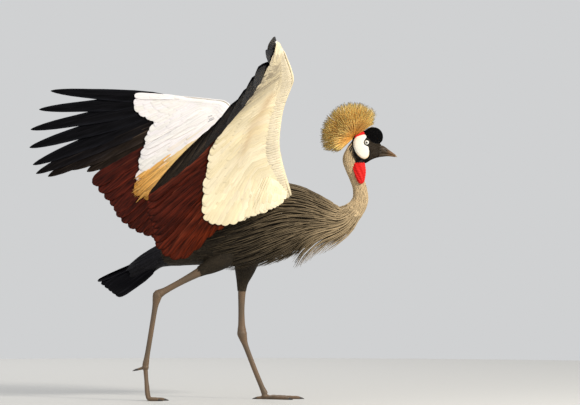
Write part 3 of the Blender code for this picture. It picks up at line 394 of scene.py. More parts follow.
HEAD_ROWS = (
    # forward place, top, underside, half width
    (0.3945, 0.726, 0.698, 0.0070),
    (0.3975, 0.735, 0.683, 0.0120),
    (0.4050, 0.744, 0.670, 0.0160),
    (0.4180, 0.751, 0.662, 0.0185),
    (0.4330, 0.753, 0.664, 0.0185),
    (0.4470, 0.749, 0.672, 0.0165),
    (0.4600, 0.736, 0.6775, 0.0132),
    (0.4700, 0.722, 0.6800, 0.0106),
    (0.4765, 0.713, 0.6812, 0.0089),
)
HEAD_VOXEL = 0.0008
CAP_CENTRE = np.array((0.4530, 0.0, 0.7370))
CAP_RADII = np.array((0.0285, 0.0165, 0.0275))
EYE_CENTRE = np.array((0.4352, 0.0118, 0.7212))
EYE_RADIUS = 0.0082
LID_RADIUS = 0.0066
CHEEK = ((0.4190, 0.7416), (0.4268, 0.7432), (0.4362, 0.7438), (0.4370, 0.7400),
         (0.4310, 0.7300), (0.4290, 0.7200), (0.4320, 0.7140), (0.4395, 0.7095),
         (0.4420, 0.6990), (0.4425, 0.6900), (0.4410, 0.6830), (0.4360, 0.6775),
         (0.4290, 0.6750), (0.4210, 0.6775), (0.4110, 0.6850), (0.4030, 0.6965),
         (0.3985, 0.7090), (0.3975, 0.7220), (0.4010, 0.7310), (0.4080, 0.7380))
RED_PATCH = ((0.4020, 0.7375), (0.4190, 0.7545), (0.4240, 0.7560), (0.4365, 0.7442),
             (0.4268, 0.7432), (0.4190, 0.7416), (0.4080, 0.7380), (0.4020, 0.7325))
FACE_DARK = np.array((0.030, 0.0215, 0.0135))
FACE_BLACK = np.array((0.0034, 0.0030, 0.0030))
CHEEK_WHITE = np.array((0.90, 0.87, 0.76))
CHEEK_RIM = np.array((0.86, 0.62, 0.36))
BARE_RED = np.array((0.80, 0.012, 0.012))
NECK_PALE = np.array((0.58, 0.435, 0.255))


def edge_distance(x, z, outline):
    """Distance in the side view to an outline, less than zero inside it."""
    corners = np.array(outline)
    place = np.stack([x, z], -1)[:, None]
    start = corners[None]
    step = np.roll(corners, -1, 0)[None] - start
    along = np.clip(((place - start) * step).sum(-1) / (step ** 2).sum(-1), 0.0, 1.0)
    near = np.linalg.norm(place - start - step * along[..., None], axis=-1).min(1)
    above = (start[..., 1] > place[..., 1]) != ((start + step)[..., 1] > place[..., 1])
    rise = np.where(step[..., 1] == 0.0, 1e-12, step[..., 1])
    cross = start[..., 0] + step[..., 0] * (place[..., 1] - start[..., 1]) / rise
    inside = (above & (place[..., 0] < cross)).sum(1) % 2 == 1
    return np.where(inside, -near, near)


def blended(first, second, part):
    return first * (1.0 - part[:, None]) + second * part[:, None]


def head_tints(places):
    """Markings of the head: bare white cheek with a red patch, ringed with black."""
    x, y, z = places.T
    cheek = edge_distance(x, z, CHEEK)
    red = edge_distance(x, z, RED_PATCH)
    eye = np.hypot(x - EYE_CENTRE[0], z - EYE_CENTRE[2])
    colour = np.broadcast_to(FACE_DARK, places.shape)
    behind = 1.0 - smoothstep(0.3935, 0.3955, x + 0.25 * np.minimum(z - 0.70, 0.0))
    colour = blended(colour, NECK_PALE, behind)
    throat = (1.0 - smoothstep(0.672, 0.678, z)) * (1.0 - behind) * (
        1.0 - smoothstep(0.440, 0.452, x))
    colour = blended(colour, FACE_BLACK, throat)
    ring = 1.0 - smoothstep(0.0036, 0.0046, np.minimum(cheek, red))
    colour = blended(colour, FACE_BLACK, ring)
    rim = CHEEK_WHITE + (CHEEK_RIM - CHEEK_WHITE) * (
        smoothstep(-0.0035, -0.0005, cheek) * (1.0 - smoothstep(0.685, 0.70, z)))[:, None]
    colour = blended(colour, rim, 1.0 - smoothstep(-0.0004, 0.0004, cheek))
    colour = blended(colour, BARE_RED, 1.0 - smoothstep(-0.0004, 0.0004, red))
    return blended(colour, FACE_BLACK, 1.0 - smoothstep(0.0086, 0.0094, eye))


def head_rings(rows, sides):
    """Upright rings round the head, a little narrower at the jaw than at the brow."""
    x, top, low, half_width = run_through(rows, np.linspace(0.0, 1.0, 60)).T
    angle = np.arange(sides) * 2.0 * math.pi / sides
    narrow = 1.0 - 0.12 * np.maximum(0.0, -np.cos(angle))
    y = half_width[:, None] * np.sin(angle) * narrow
    z = (top + low)[:, None] / 2.0 + (top - low)[:, None] / 2.0 * np.cos(angle)
    return np.stack([np.broadcast_to(x[:, None], y.shape), y, z], -1)


def egg_rings(centre, radii, count=36, sides=48):
    """Rings of an ellipsoid about the upright."""
    tilt = np.linspace(0.04, math.pi - 0.04, count)[:, None]
    turn = np.arange(sides)[None] * 2.0 * math.pi / sides
    ball = np.stack([np.sin(tilt) * np.cos(turn), np.sin(tilt) * np.sin(turn),
                     np.cos(tilt) + 0.0 * turn], -1)
    return centre + ball * radii


def eye_ball(x, z):
    """How far sideways the eyeball's surface lies, and the distance from its middle."""
    r = np.hypot(x - EYE_CENTRE[0], z - EYE_CENTRE[2])
    return EYE_CENTRE[1] + np.sqrt(np.maximum(EYE_RADIUS ** 2 - r ** 2, 0.0)), r


def shaped_head():
    """Fine skin of head and crown, with sockets and round lids sunk in its sides."""
    head = melted("head", [head_rings(HEAD_ROWS, 56), egg_rings(CAP_CENTRE, CAP_RADII - 0.0016)],
                  HEAD_VOXEL, 5)
    places = corner_places(head) - BIRD_PLACE
    x, y, z = places.T
    side = np.sign(y)
    ball, r = eye_ball(x, z)
    flank = np.abs(y) > 0.008
    lid = np.exp(-((r - LID_RADIUS - 0.0004) / 0.0011) ** 2)
    outer = np.abs(y) * (1.0 - lid) + np.maximum(np.abs(y), ball + 0.0006) * lid
    open_eye = 1.0 - smoothstep(LID_RADIUS - 0.0012, LID_RADIUS - 0.0003, r)
    outer = outer * (1.0 - open_eye) + (ball - 0.0016) * open_eye
    brow = 0.0010 * np.exp(-((z - EYE_CENTRE[2] - 0.0105) / 0.0035) ** 2
                           - ((x - EYE_CENTRE[0]) / 0.010) ** 2)
    cheek = edge_distance(x, z, CHEEK)
    puff = 0.0012 * (1.0 - smoothstep(-0.006, 0.001, cheek)) * smoothstep(0.008, 0.011, r)
    y = np.where(flank, (outer + brow + puff) * side, y)
    places = np.stack([x, y, z], -1) + BIRD_PLACE
    head.data.vertices.foreach_set("co", places.ravel())
    head.data.update()
    return head


def skin_tints(places):
    """Colour of the flesh: slate under the body's coat, pale under neck and wings."""
    slate = np.array((0.022, 0.016, 0.011))
    pale = np.array((0.42, 0.36, 0.28))
    white = np.array((0.74, 0.68, 0.56))
    x, y, z = places.T
    neck = smoothstep(0.385, 0.415, x) * smoothstep(0.50, 0.54, z)
    high = smoothstep(0.606, 0.614, z) * (1.0 - smoothstep(0.30, 0.34, x))
    shoulder = smoothstep(0.060, 0.068, np.abs(y)) * smoothstep(0.572, 0.582, z) * (
        1.0 - smoothstep(0.235, 0.245, x))
    wing = np.maximum(smoothstep(0.085, 0.105, np.abs(y)), np.maximum(high, shoulder))
    colour = blended(np.broadcast_to(slate, places.shape), pale, neck)
    colour = blended(colour, white, wing)
    head = smoothstep(0.664, 0.672, z + 0.15 * (x - 0.42)) * smoothstep(0.372, 0.380, x)
    return blended(colour, head_tints(places), head)


def paint(item, tints):
    """Puts a colour on each corner point of a piece, as the attribute tint."""
    layer = item.data.color_attributes.new("tint", "FLOAT_COLOR", "POINT")
    rgba = np.concatenate([tints, np.ones((len(tints), 1))], 1)
    layer.data.foreach_set("color", rgba.astype(np.float32).ravel())


def corner_places(item):
    places = np.empty(len(item.data.vertices) * 3)
    item.data.vertices.foreach_get("co", places)
    return places.reshape(-1, 3)


def skin_material(name, roughness, grain, depth):
    """Skin: its own tint, with fine pores as bump."""
    material = bpy.data.materials.new(name)
    material.use_nodes = True
    nodes = material.node_tree.nodes
    links = material.node_tree.links
    shader = nodes["Principled BSDF"]
    shader.inputs["Roughness"].default_value = roughness
    tint = nodes.new("ShaderNodeAttribute")
    tint.attribute_name = "tint"
    place = nodes.new("ShaderNodeTexCoord")
    pores = nodes.new("ShaderNodeTexVoronoi")
    pores.inputs["Scale"].default_value = grain
    bump = nodes.new("ShaderNodeBump")
    bump.inputs["Strength"].default_value = 0.35
    bump.inputs["Distance"].default_value = depth
    links.new(place.outputs["Object"], pores.inputs["Vector"])
    links.new(pores.outputs["Distance"], bump.inputs["Height"])
    links.new(bump.outputs["Normal"], shader.inputs["Normal"])
    links.new(tint.outputs["Color"], shader.inputs["Base Color"])
    return material


skin_shells = [trunk_skin_rings(), tube(TAIL_FLESH_ROWS, 20, 0.0)]
skin_shells += [tube(even_rows(rows, 14, 3)[0], 24, 0.0030) for rows in THIGH_ROWS.values()]
skin_shells += [wing.flesh_rings(np.arange(0.0, 10.01, 0.25), 0.86) for wing in WINGS.values()]
skin = melted("skin", skin_shells, SKIN_VOXEL, 4)
head = shaped_head()
union = skin.modifiers.new("head", "BOOLEAN")
union.operation = "UNION"
union.object = head
union.solver = "MANIFOLD"
settle(skin)
skin.data.materials.clear()
skin.data.polygons.foreach_set("material_index", np.zeros(len(skin.data.polygons), np.int32))
paint(skin, skin_tints(corner_places(skin) - BIRD_PLACE))
skin.data.materials.append(skin_material("flesh under the plumage", 0.8, 600.0, 0.0004))
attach(skin, "root")
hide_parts("torso", "neck", "head")

# Primaries and secondaries: long stiff feathers of horn-like keratin, each with a
# quill down its middle and a vane on both sides that curves down to its rims. They
# stand in one row along the rear edge of hand and arm, each over its neighbour.
VANE_SECTION = ((-1.0, 0.0), (-0.95, 0.55), (-0.5, 0.9), (-0.09, 0.9), (0.0, 1.9),
                (0.09, 0.9), (0.5, 0.9), (0.95, 0.55), (1.0, 0.0), (0.5, -0.6), (0.0, -1.9),
                (-0.5, -0.6))
QUILL_WIDTH = 0.1
PRIMARY_OUTLINE = ((0.0, 0.10, 0.10), (0.05, 0.30, 0.34), (0.12, 0.62, 0.70),
                   (0.22, 0.90, 0.96), (0.36, 1.0, 1.0), (0.50, 0.96, 1.0),
                   (0.60, 0.90, 1.0), (0.68, 0.80, 0.96), (0.76, 0.72, 0.88),
                   (0.84, 0.62, 0.74), (0.91, 0.47, 0.56), (0.96, 0.31, 0.35),
                   (0.985, 0.18, 0.20), (1.0, 0.05, 0.05))
SECONDARY_OUTLINE = ((0.0, 0.10), (0.05, 0.34), (0.12, 0.70), (0.25, 0.96), (0.45, 1.0),
                     (0.65, 1.0), (0.80, 1.0), (0.88, 0.97), (0.935, 0.89), (0.965, 0.76),
                     (0.985, 0.54), (1.0, 0.16))
BLACK_QUILL = np.array((0.0036, 0.0034, 0.0042))
BROWN_QUILL = np.array((0.016, 0.0105, 0.0070))
MAROON = np.array((0.046, 0.0060, 0.0026))
CHESTNUT = np.array((0.092, 0.0120, 0.0018))
VANE_THICKNESS = 0.0005
VANE_CAMBER = 0.11
draw = np.random.RandomState(7)


class Bed:
    """Like feathers, each a row of rings along its middle line, with tints and patches.

    middle and normal hold the line and the way its face looks, ring by ring. fractions
    is each ring's share of the width, and section the sideways and upward points of
    one ring. patch is each feather's place on the map for baking.
    """

    def __init__(self, middle, normal, width, ring_at, fractions, section, thickness,
                 tilt, camber, patch, patch_size=0.003):
        count, rings = middle.shape[:2]
        fractions = np.broadcast_to(fractions, (count, rings))
        run = unit(np.gradient(middle, axis=1))
        across = unit(np.cross(normal, run))
        face = np.cross(run, across)
        tilt = np.asarray(tilt) if np.ndim(tilt) == 2 else np.broadcast_to(tilt, (count,))[:, None]
        tilt = np.broadcast_to(tilt, (count, rings))[..., None]
        edge = across * np.cos(tilt) + face * np.sin(tilt)
        face = face * np.cos(tilt) - across * np.sin(tilt)
        sideways, upward = np.array(section).T
        half = (width[:, None] * fractions / 2.0)[..., None]
        thin = thickness * (0.35 + 0.65 * np.minimum(fractions * 1.4, 1.0))[..., None]
        out = half * sideways
        high = thin * upward - half * camber * sideways ** 2
        self.places = (middle[:, :, None] + edge[:, :, None] * out[..., None]
                       + face[:, :, None] * high[..., None])
        self.t = np.broadcast_to(np.asarray(ring_at), (count, rings))
        self.w = sideways
        length = np.linalg.norm(np.diff(middle, axis=1), axis=2)
        travelled = np.concatenate([np.zeros((count, 1)), np.cumsum(length, 1)], 1)
        self.lie = np.stack(np.broadcast_arrays(out, travelled[..., None]), -1)
        self.patch = patch
        self.patch_size = patch_size
        self.tints = np.zeros(self.places.shape)

    def tint(self, root, tip, rim=None, rim_from=0.6, quill=None, tip_from=0.0, power=1.0):
        """Colours from root to tip, with other rims and another quill if given."""
        t = smoothstep(tip_from, 1.0, self.t)[..., None, None] ** power
        colour = root[:, None, None, :] * (1.0 - t) + tip[:, None, None, :] * t
        colour = np.broadcast_to(colour, self.places.shape).copy()
        if rim is not None:
            part = smoothstep(rim_from, 1.0, np.abs(self.w))[None, None, :, None]
            colour = colour * (1.0 - part) + rim[:, None, None, :] * part
        if quill is not None:
            part = (np.abs(self.w) < 0.02)[None, None, :, None] * (
                1.0 - smoothstep(0.7, 1.0, self.t))[..., None, None]
            colour = colour * (1.0 - part) + quill[:, None, None, :] * part
        self.tints = colour
        return self

    def dye(self, colours, rim, quill):
        """One colour for each ring, times rim at the vane's edges and quill in its middle."""
        edge = smoothstep(0.4, 1.0, np.abs(self.w))
        share = 1.0 + (rim - 1.0) * edge + (quill - 1.0) * (np.abs(self.w) < 0.02)
        self.tints = colours[:, :, None, :] * share[None, None, :, None]
        return self

    def keep(self, chosen):
        """Leaves out all feathers but the chosen ones."""
        self.places = self.places[chosen]
        self.t = self.t[chosen]
        self.lie = self.lie[chosen]
        self.patch = self.patch[chosen]
        self.tints = self.tints[chosen]


def laid(sheet, a, b, width, ring_at, fractions, section, thickness, lift, tilt=0.0,
         camber=0.0, shift=0.0, patch=None, patch_size=0.003):
    """Feathers laid on a sheet; a and b are pairs of its fractions, at root and tip."""
    t = np.asarray(ring_at)[None, :]
    at_a = a[:, :1] + (a[:, 1:] - a[:, :1]) * t
    at_b = b[:, :1] + (b[:, 1:] - b[:, :1]) * t
    normal = sheet.normal(at_a, at_b)
    lift = np.broadcast_to(lift, at_a.shape)[..., None]
    middle = sheet.read(at_a, at_b) + normal * lift + shift
    patch = pair(a[:, 0], b[:, 0]) if patch is None else patch
    return Bed(middle, normal, width, ring_at, fractions, section, thickness, tilt, camber,
               patch, patch_size)


def pair(first, second):
    return np.stack(np.broadcast_arrays(first, second), 1)


def joined(name, beds, material):
    """One mesh of all feathers in the beds, each a closed solid."""
    places, tints, corners, sizes, bake, lie = [], [], [], [], [], []
    base = 0
    for bed in beds:
        count, rings, points = bed.places.shape[:3]
        index = np.arange(count * rings * points).reshape(count, rings, points)
        after = np.roll(index, -1, 2)
        quads = np.stack([index[:, :-1], after[:, :-1], after[:, 1:], index[:, 1:]], -1)
        first = index[:, 0, ::-1]
        last = index[:, -1]
        step = np.arange(points)
        u = np.stack([step, step + 1, step + 1, step], -1) / points
        v = np.arange(rings) / (rings - 1.0)
        v = np.stack([v[:-1], v[:-1], v[1:], v[1:]], -1)[:, None]
        u, v = np.broadcast_arrays(u[None], v)
        quad_uv = np.stack([u, v], -1)
        cap_u = step / points
        first_uv = np.stack([cap_u[::-1], np.zeros(points)], -1)
        last_uv = np.stack([cap_u, np.ones(points)], -1)
        own = bed.places.reshape(-1, 3)
        flat = np.concatenate([quads.reshape(-1), first.reshape(-1), last.reshape(-1)])
        patch = np.concatenate([
            (bed.patch[:, None, None, None] + (quad_uv - 0.5) * bed.patch_size).reshape(-1, 2),
            (bed.patch[:, None] + (first_uv - 0.5) * bed.patch_size).reshape(-1, 2),
            (bed.patch[:, None] + (last_uv - 0.5) * bed.patch_size).reshape(-1, 2)])
        shown = bed.lie.reshape(-1, 2)[flat]
        places.append(own)
        tints.append(bed.tints.reshape(-1, 3))
        corners.append(flat + base)
        sizes.append(np.concatenate([np.full(quads.size // 4, 4), np.full(2 * count, points)]))
        bake.append(patch)
        lie.append(shown)
        base += len(own)
    places = np.concatenate(places) + BIRD_PLACE
    corners = np.concatenate(corners)
    sizes = np.concatenate(sizes)
    starts = np.concatenate([[0], np.cumsum(sizes)[:-1]])
    mesh = bpy.data.meshes.new(name)
    mesh.vertices.add(len(places))
    mesh.vertices.foreach_set("co", places.astype(np.float32).ravel())
    mesh.loops.add(len(corners))
    mesh.loops.foreach_set("vertex_index", corners.astype(np.int32))
    mesh.polygons.add(len(sizes))
    mesh.polygons.foreach_set("loop_start", starts.astype(np.int32))
    for label, rows in (("OFBake", bake), ("lie", lie)):
        layer = mesh.uv_layers.new(name=label)
        layer.data.foreach_set("uv", np.concatenate(rows).astype(np.float32).ravel())
    mesh.update(calc_edges=True)
    item = bpy.data.objects.new(name, mesh)
    bpy.context.scene.collection.objects.link(item)
    paint(item, np.clip(np.concatenate(tints), 0.0, 1.0))
    first = places[corners[starts[0]]]
    inside = quads_volume(places, corners, sizes, starts, first)
    if inside < 0.0:
        mesh.flip_normals()
    mesh.shade_smooth()
    mesh.materials.append(material)
    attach(item, "root")
    return item


def quads_volume(places, corners, sizes, starts, about):
    """Signed volume of the four-cornered faces, to see which way they point."""
    four = starts[sizes == 4]
    a, b, c, d = [places[corners[four + k]] - about for k in range(4)]
    return float(np.einsum("ij,ij->", np.cross(b - a, c - a) + np.cross(c - a, d - a), a))


def plumage_material(name, roughness, barbs, mottle, shine, streaks=520.0):
    """Feather vanes: own tint in fine streaks down the vane, and barbs as bump."""
    material = bpy.data.materials.new(name)
    material.use_nodes = True
    nodes = material.node_tree.nodes
    links = material.node_tree.links
    shader = nodes["Principled BSDF"]
    shader.inputs["Roughness"].default_value = roughness
    shader.inputs["Specular IOR Level"].default_value = shine
    tint = nodes.new("ShaderNodeAttribute")
    tint.attribute_name = "tint"
    lie = nodes.new("ShaderNodeUVMap")
    lie.uv_map = "lie"
    split = nodes.new("ShaderNodeSeparateXYZ")
    side = nodes.new("ShaderNodeMath")
    side.operation = "ABSOLUTE"
    slant = nodes.new("ShaderNodeMath")
    slant.operation = "MULTIPLY_ADD"
    slant.inputs[1].default_value = -1.1
    wave = nodes.new("ShaderNodeMath")
    wave.operation = "MULTIPLY"
    wave.inputs[1].default_value = 2.0 * math.pi / 0.0016
    ridge = nodes.new("ShaderNodeMath")
    ridge.operation = "SINE"
    bump = nodes.new("ShaderNodeBump")
    bump.inputs["Strength"].default_value = barbs
    bump.inputs["Distance"].default_value = 0.0003
    place = nodes.new("ShaderNodeTexCoord")
    stretch = nodes.new("ShaderNodeMapping")
    stretch.inputs["Scale"].default_value = (streaks, 14.0, 1.0)
    apart = nodes.new("ShaderNodeVectorMath")
    apart.operation = "MULTIPLY_ADD"
    apart.inputs[1].default_value = (25.0, 25.0, 25.0)
    cloud = nodes.new("ShaderNodeTexNoise")
    cloud.inputs["Scale"].default_value = 1.0
    cloud.inputs["Detail"].default_value = 2.0
    spread = nodes.new("ShaderNodeMapRange")
    spread.inputs["From Min"].default_value = 0.3
    spread.inputs["From Max"].default_value = 0.7
    spread.inputs["To Min"].default_value = 1.0 - mottle
    spread.inputs["To Max"].default_value = 1.0 + mottle
    shade = nodes.new("ShaderNodeMix")
    shade.data_type = "RGBA"
    shade.blend_type = "MULTIPLY"
    shade.inputs["Factor"].default_value = 1.0
    links.new(lie.outputs["UV"], split.inputs["Vector"])
    links.new(split.outputs["X"], side.inputs[0])
    links.new(side.outputs["Value"], slant.inputs[0])
    links.new(split.outputs["Y"], slant.inputs[2])
    links.new(slant.outputs["Value"], wave.inputs[0])
    links.new(wave.outputs["Value"], ridge.inputs[0])
    links.new(ridge.outputs["Value"], bump.inputs["Height"])
    links.new(bump.outputs["Normal"], shader.inputs["Normal"])
    links.new(lie.outputs["UV"], stretch.inputs["Vector"])
    links.new(place.outputs["Object"], apart.inputs[0])
    links.new(stretch.outputs["Vector"], apart.inputs[2])
    links.new(apart.outputs["Vector"], cloud.inputs["Vector"])
    links.new(cloud.outputs["Fac"], spread.inputs["Value"])
    links.new(tint.outputs["Color"], shade.inputs["A"])
    links.new(spread.outputs["Result"], shade.inputs["B"])
    links.new(shade.outputs["Result"], shader.inputs["Base Color"])
    return material


def flight_sheet(wing, hand):
    """Sheet of the flight feathers: a runs down each feather and b from one to the next."""
    s, u = np.meshgrid(np.linspace(0.0, 1.0, 48), np.linspace(0.0, 1.0, 90), indexing="ij")
    grid = wing.flight(hand, u, s)
    along = grid[24, 45] - grid[20, 45]
    across = grid[22, 47] - grid[22, 43]
    face = np.cross(along, across)
    up = wing.upper(unit(face)[None])[0]
    return Sheet(grid, False, float(np.sign(face @ up)))


def strip_patches(count):
    """Places for long vanes side by side on the map for baking."""
    return pair((np.arange(count) + 0.5) / count, 0.5)


FLIGHT_SHAPE = {
    # widest primary, widest secondary, tilt in degrees of the inner nine and the last
    # primary, and of the secondaries
    "left": (0.050, 0.050, (11.0, 11.0), 7.0),
    "right": (0.056, 0.050, (38.0, -30.0), 7.0),
}
PRIMARY_COUNT = 10
SECONDARY_COUNT = 20
PRIMARY_WIDTHS = ((0.0, 0.92), (0.1, 1.0), (0.65, 1.0), (1.0, 0.72))


def turned(degrees, at):
    """Turn of a vane about its quill: little at the root and all of it at the tip."""
    root = 5.0
    part = smoothstep(0.35, 0.62, at)[None]
    return math.radians(1.0) * (root + (np.reshape(degrees, (-1, 1)) - root) * part)


def primaries(label, wing):
    wide, _, (tilt, last_tilt), _ = FLIGHT_SHAPE[label]
    u = np.arange(PRIMARY_COUNT) / (PRIMARY_COUNT - 1.0)
    at, slim, broad = np.array(PRIMARY_OUTLINE).T
    inner = (1.0 - smoothstep(0.15, 0.55, u))[:, None]
    fractions = slim * (1.0 - inner) + broad * inner
    bed = laid(flight_sheet(wing, True), pair(np.zeros(PRIMARY_COUNT), 1.0), pair(u, u),
               wide * band(u, PRIMARY_WIDTHS), at, fractions, VANE_SECTION, VANE_THICKNESS,
               0.0, turned(np.where(u > 0.95, last_tilt, tilt), at), VANE_CAMBER,
               patch=strip_patches(PRIMARY_COUNT),
               patch_size=np.array((0.9 / PRIMARY_COUNT, 0.98)))
    brown = inner * 0.8
    base = BLACK_QUILL * (1.0 - brown) + BROWN_QUILL * brown
    quill = base * 1.8 + np.array((0.050, 0.036, 0.024)) * inner
    # The rims are lighter than the vane and tinged blue: a painted sheen highlight on the black
    # vanes.
    rim = base * (1.5 + 0.7 * inner) + np.array((0.0040, 0.0045, 0.0060))
    return bed.tint(base * 1.2, base, rim=rim, rim_from=0.82, quill=quill)


def secondaries(label, wing):
    _, wide, _, tilt = FLIGHT_SHAPE[label]
    u = np.arange(SECONDARY_COUNT) / (SECONDARY_COUNT - 1.0)
    at, fractions = np.array(SECONDARY_OUTLINE).T
    reach_share = 1.0 - 0.08 * smoothstep(0.70, 0.80, u) - 0.4 * smoothstep(0.84, 1.0, u)
    bed = laid(flight_sheet(wing, False), pair(0.0, reach_share), pair(u, u),
               np.full(SECONDARY_COUNT, wide), at, fractions, VANE_SECTION, VANE_THICKNESS,
               0.0, np.repeat(turned(tilt, at), SECONDARY_COUNT, 0), VANE_CAMBER * 0.6,
               patch=strip_patches(SECONDARY_COUNT),
               patch_size=np.array((0.9 / SECONDARY_COUNT, 0.98)))
    inner = smoothstep(0.15, 0.8, u)[:, None]
    wobble = (1.0 + 0.18 * draw.uniform(-1.0, 1.0, SECONDARY_COUNT))[:, None]
    base = (MAROON * (1.0 - inner) + CHESTNUT * inner * 0.8) * wobble
    # Lighter rims and a lighter quill line on each vane are painted highlight streaks of its gloss.
    return bed.tint(base * 0.8, base * 1.1, rim=base * 1.7, rim_from=0.5,
                    quill=base * 1.8 + np.array((0.020, 0.010, 0.005)))


quill_material = plumage_material("black flight feathers", 0.42, 0.3, 0.45, 0.03, 260.0)
secondary_material = plumage_material("maroon flight feathers", 0.33, 0.35, 0.75, 0.08, 230.0)
for label, wing in WINGS.items():
    item = joined("primaries_" + label, [primaries(label, wing)], quill_material)
    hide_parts("wing_" + label + "_hand")
    item = joined("secondaries_" + label, [secondaries(label, wing)], secondary_material)
    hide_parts("wing_" + label + "_arm")

# Wing coverts: rows of soft white feathers, over and under each wing, that lie on one
# another like tiles from the leading edge back and hide the quills' roots. The
# inner ones of the upper side end in loose straw-gold fringes.
COVER_REACH = 0.40
STATION_LOW = 0.1
STATION_HIGH = 9.95
COVER_BASE = {1: 0.0036, -1: 0.0052}
SMALL_SECTION = ((-1.0, 0.0), (-0.92, 0.7), (0.0, 1.3), (0.92, 0.7), (1.0, 0.0), (0.0, -0.9))
WHITE = np.array((0.84, 0.80, 0.775))
CREAM = np.array((0.85, 0.735, 0.50))
GOLD = np.array((0.58, 0.255, 0.036))
PALE_GOLD = np.array((0.86, 0.60, 0.23))
COVERT_LIMITS = {
    # how far down the flight feathers the last row of coverts reaches, by station
    ("left", 1): ((0.1, 0.0), (1.15, 0.1), (1.3, 0.78), (1.75, 0.65), (2.25, 0.57), (3.0, 0.57),
                  (3.5, 0.63), (4.0, 0.70), (4.25, 0.79), (4.5, 0.80), (4.75, 0.74),
                  (5.0, 0.67), (5.5, 0.58), (6.75, 0.57), (7.0, 0.51), (7.25, 0.42),
                  (7.5, 0.30), (7.75, 0.25), (8.25, 0.27), (9.0, 0.34), (9.95, 0.35)),
    ("left", -1): ((0.1, 0.0), (1.15, 0.1), (1.3, 0.95), (2.3, 0.80), (3.35, 0.50), (5.4, 0.46),
                   (6.2, 0.42), (7.2, 0.36), (9.95, 0.34)),
    ("right", 1): ((0.1, 0.0), (1.15, 0.1), (1.3, 0.80), (2.25, 0.57), (3.5, 0.60), (4.0, 0.66),
                   (4.5, 0.70), (5.0, 0.62), (5.5, 0.55), (6.75, 0.50), (7.25, 0.40),
                   (7.75, 0.27), (9.95, 0.33)),
    ("right", -1): ((0.1, 0.2), (0.7, 0.5), (1.3, 1.0), (2.3, 1.02),
                    (2.5, 0.98), (2.75, 0.87), (3.0, 0.73), (3.25, 0.62), (3.75, 0.52),
                    (4.25, 0.46), (5.25, 0.44), (6.0, 0.47), (7.0, 0.45), (7.5, 0.40),
                    (9.95, 0.34)),
}


def cover_middle(wing, distance, station):
    """Places a distance back from the leading edge, over the limb and on down the
    flight feathers, with how far the limb reaches and how long those feathers are."""
    lead, trail = wing.edges(station)
    root = lead + (trail - lead) * ROOT_CHORD
    flesh = np.linalg.norm(root - lead, axis=-1)
    hand_u = np.clip((station - HAND_FIRST) / (HAND_LAST - HAND_FIRST), 0.0, 1.0)
    arm_u = np.clip((ARM_FIRST - station) / (ARM_FIRST - ARM_LAST), 0.0, 1.0)
    blend = np.clip((station - ARM_FIRST) / (HAND_FIRST - ARM_FIRST), 0.0, 1.0)
    past = np.zeros(distance.shape + (3,))
    length = np.zeros(distance.shape)
    zero = np.zeros_like(distance)
    for hand, u, share in ((True, hand_u, blend), (False, arm_u, 1.0 - blend)):
        start = wing.flight(hand, u, zero)
        own = np.linalg.norm(wing.flight(hand, u, zero + 1.0) - start, axis=-1)
        s = np.clip((distance - flesh) / own, 0.0, 1.0 + 0.06 / own)
        past += (wing.flight(hand, u, s) - start) * share[..., None]
        length += own * share
    over = np.clip(distance / flesh, 0.0, 1.0)[..., None]
    return lead + (root - lead) * over + past, flesh, length


class Cover:
    """The outer surface of a wing's upper (way 1) or under side (way -1)."""

    def __init__(self, wing, way):
        distance, station = np.meshgrid(np.linspace(0.0, COVER_REACH, 80),
                                        np.linspace(STATION_LOW, STATION_HIGH, 150),
                                        indexing="ij")
        middle, flesh, length = cover_middle(wing, distance, station)
        for _ in range(24):
            middle[:, 1:-1] = (middle[:, :-2] + 2.0 * middle[:, 1:-1] + middle[:, 2:]) / 4.0
        for _ in range(8):
            middle[1:-1] = (middle[:-2] + 2.0 * middle[1:-1] + middle[2:]) / 4.0
        face = np.cross(np.gradient(middle, axis=0), np.gradient(middle, axis=1))
        face = wing.upper(unit(face)) * way
        thick = np.interp(station, range(11), WING_THICKNESS) / 2.0
        thick = thick * (1.0 if way > 0 else 0.85)
        chord = np.clip(distance / flesh, 0.0, 1.0) * ROOT_CHORD
        over = thick * band(chord, AEROFOIL)
        fade = np.exp(-np.maximum(distance - flesh, 0.0) / 0.035)
        wrist = smoothstep(4.9, 5.6, station) * (1.0 - smoothstep(6.6, 7.3, station))
        past_limb = smoothstep(0.0, 0.03, distance - flesh)
        height = over * fade + COVER_BASE[way] * (1.0 - fade)
        height = height + (0.007 if way > 0 else 0.003) * wrist * past_limb
        for _ in range(10):
            height[:, 1:-1] = (height[:, :-2] + 2.0 * height[:, 1:-1] + height[:, 2:]) / 4.0
        grid = middle + face * height[..., None]
        for _ in range(4):
            grid[1:-1] = (grid[:-2] + 2.0 * grid[1:-1] + grid[2:]) / 4.0
            grid[:, 1:-1] = (grid[:, :-2] + 2.0 * grid[:, 1:-1] + grid[:, 2:]) / 4.0
        sample = np.cross(grid[21, 75] - grid[19, 75], grid[20, 76] - grid[20, 74])
        self.sheet = Sheet(grid, False, float(np.sign(sample @ face[20, 75])))
        self.flesh = flesh[0]
        self.length = length[0]

    def read(self, rows, station):
        return np.interp(station, np.linspace(STATION_LOW, STATION_HIGH, 150), rows)

    def row(self, station, start, end, width, ring_at, fractions, section, thickness, lift,
            tilt, camber, drift=0.0):
        """Feathers rooted at stations, from start to end metres behind the leading edge."""
        b = (station - STATION_LOW) / (STATION_HIGH - STATION_LOW)
        b_tip = b + drift / (STATION_HIGH - STATION_LOW)
        return laid(self.sheet, pair(start, end) / COVER_REACH, pair(b, b_tip), width,
                    ring_at, fractions, section, thickness, lift, tilt, camber)

    def spacing(self, station, end):
        """Largest distance between neighbours of a row with its tips at end."""
        b = (station - STATION_LOW) / (STATION_HIGH - STATION_LOW)
        lines = [self.sheet.read(end * share / COVER_REACH, b) for share in (0.35, 0.65, 1.0)]
        return np.max([np.linalg.norm(np.gradient(line, axis=0), axis=1) for line in lines], 0)


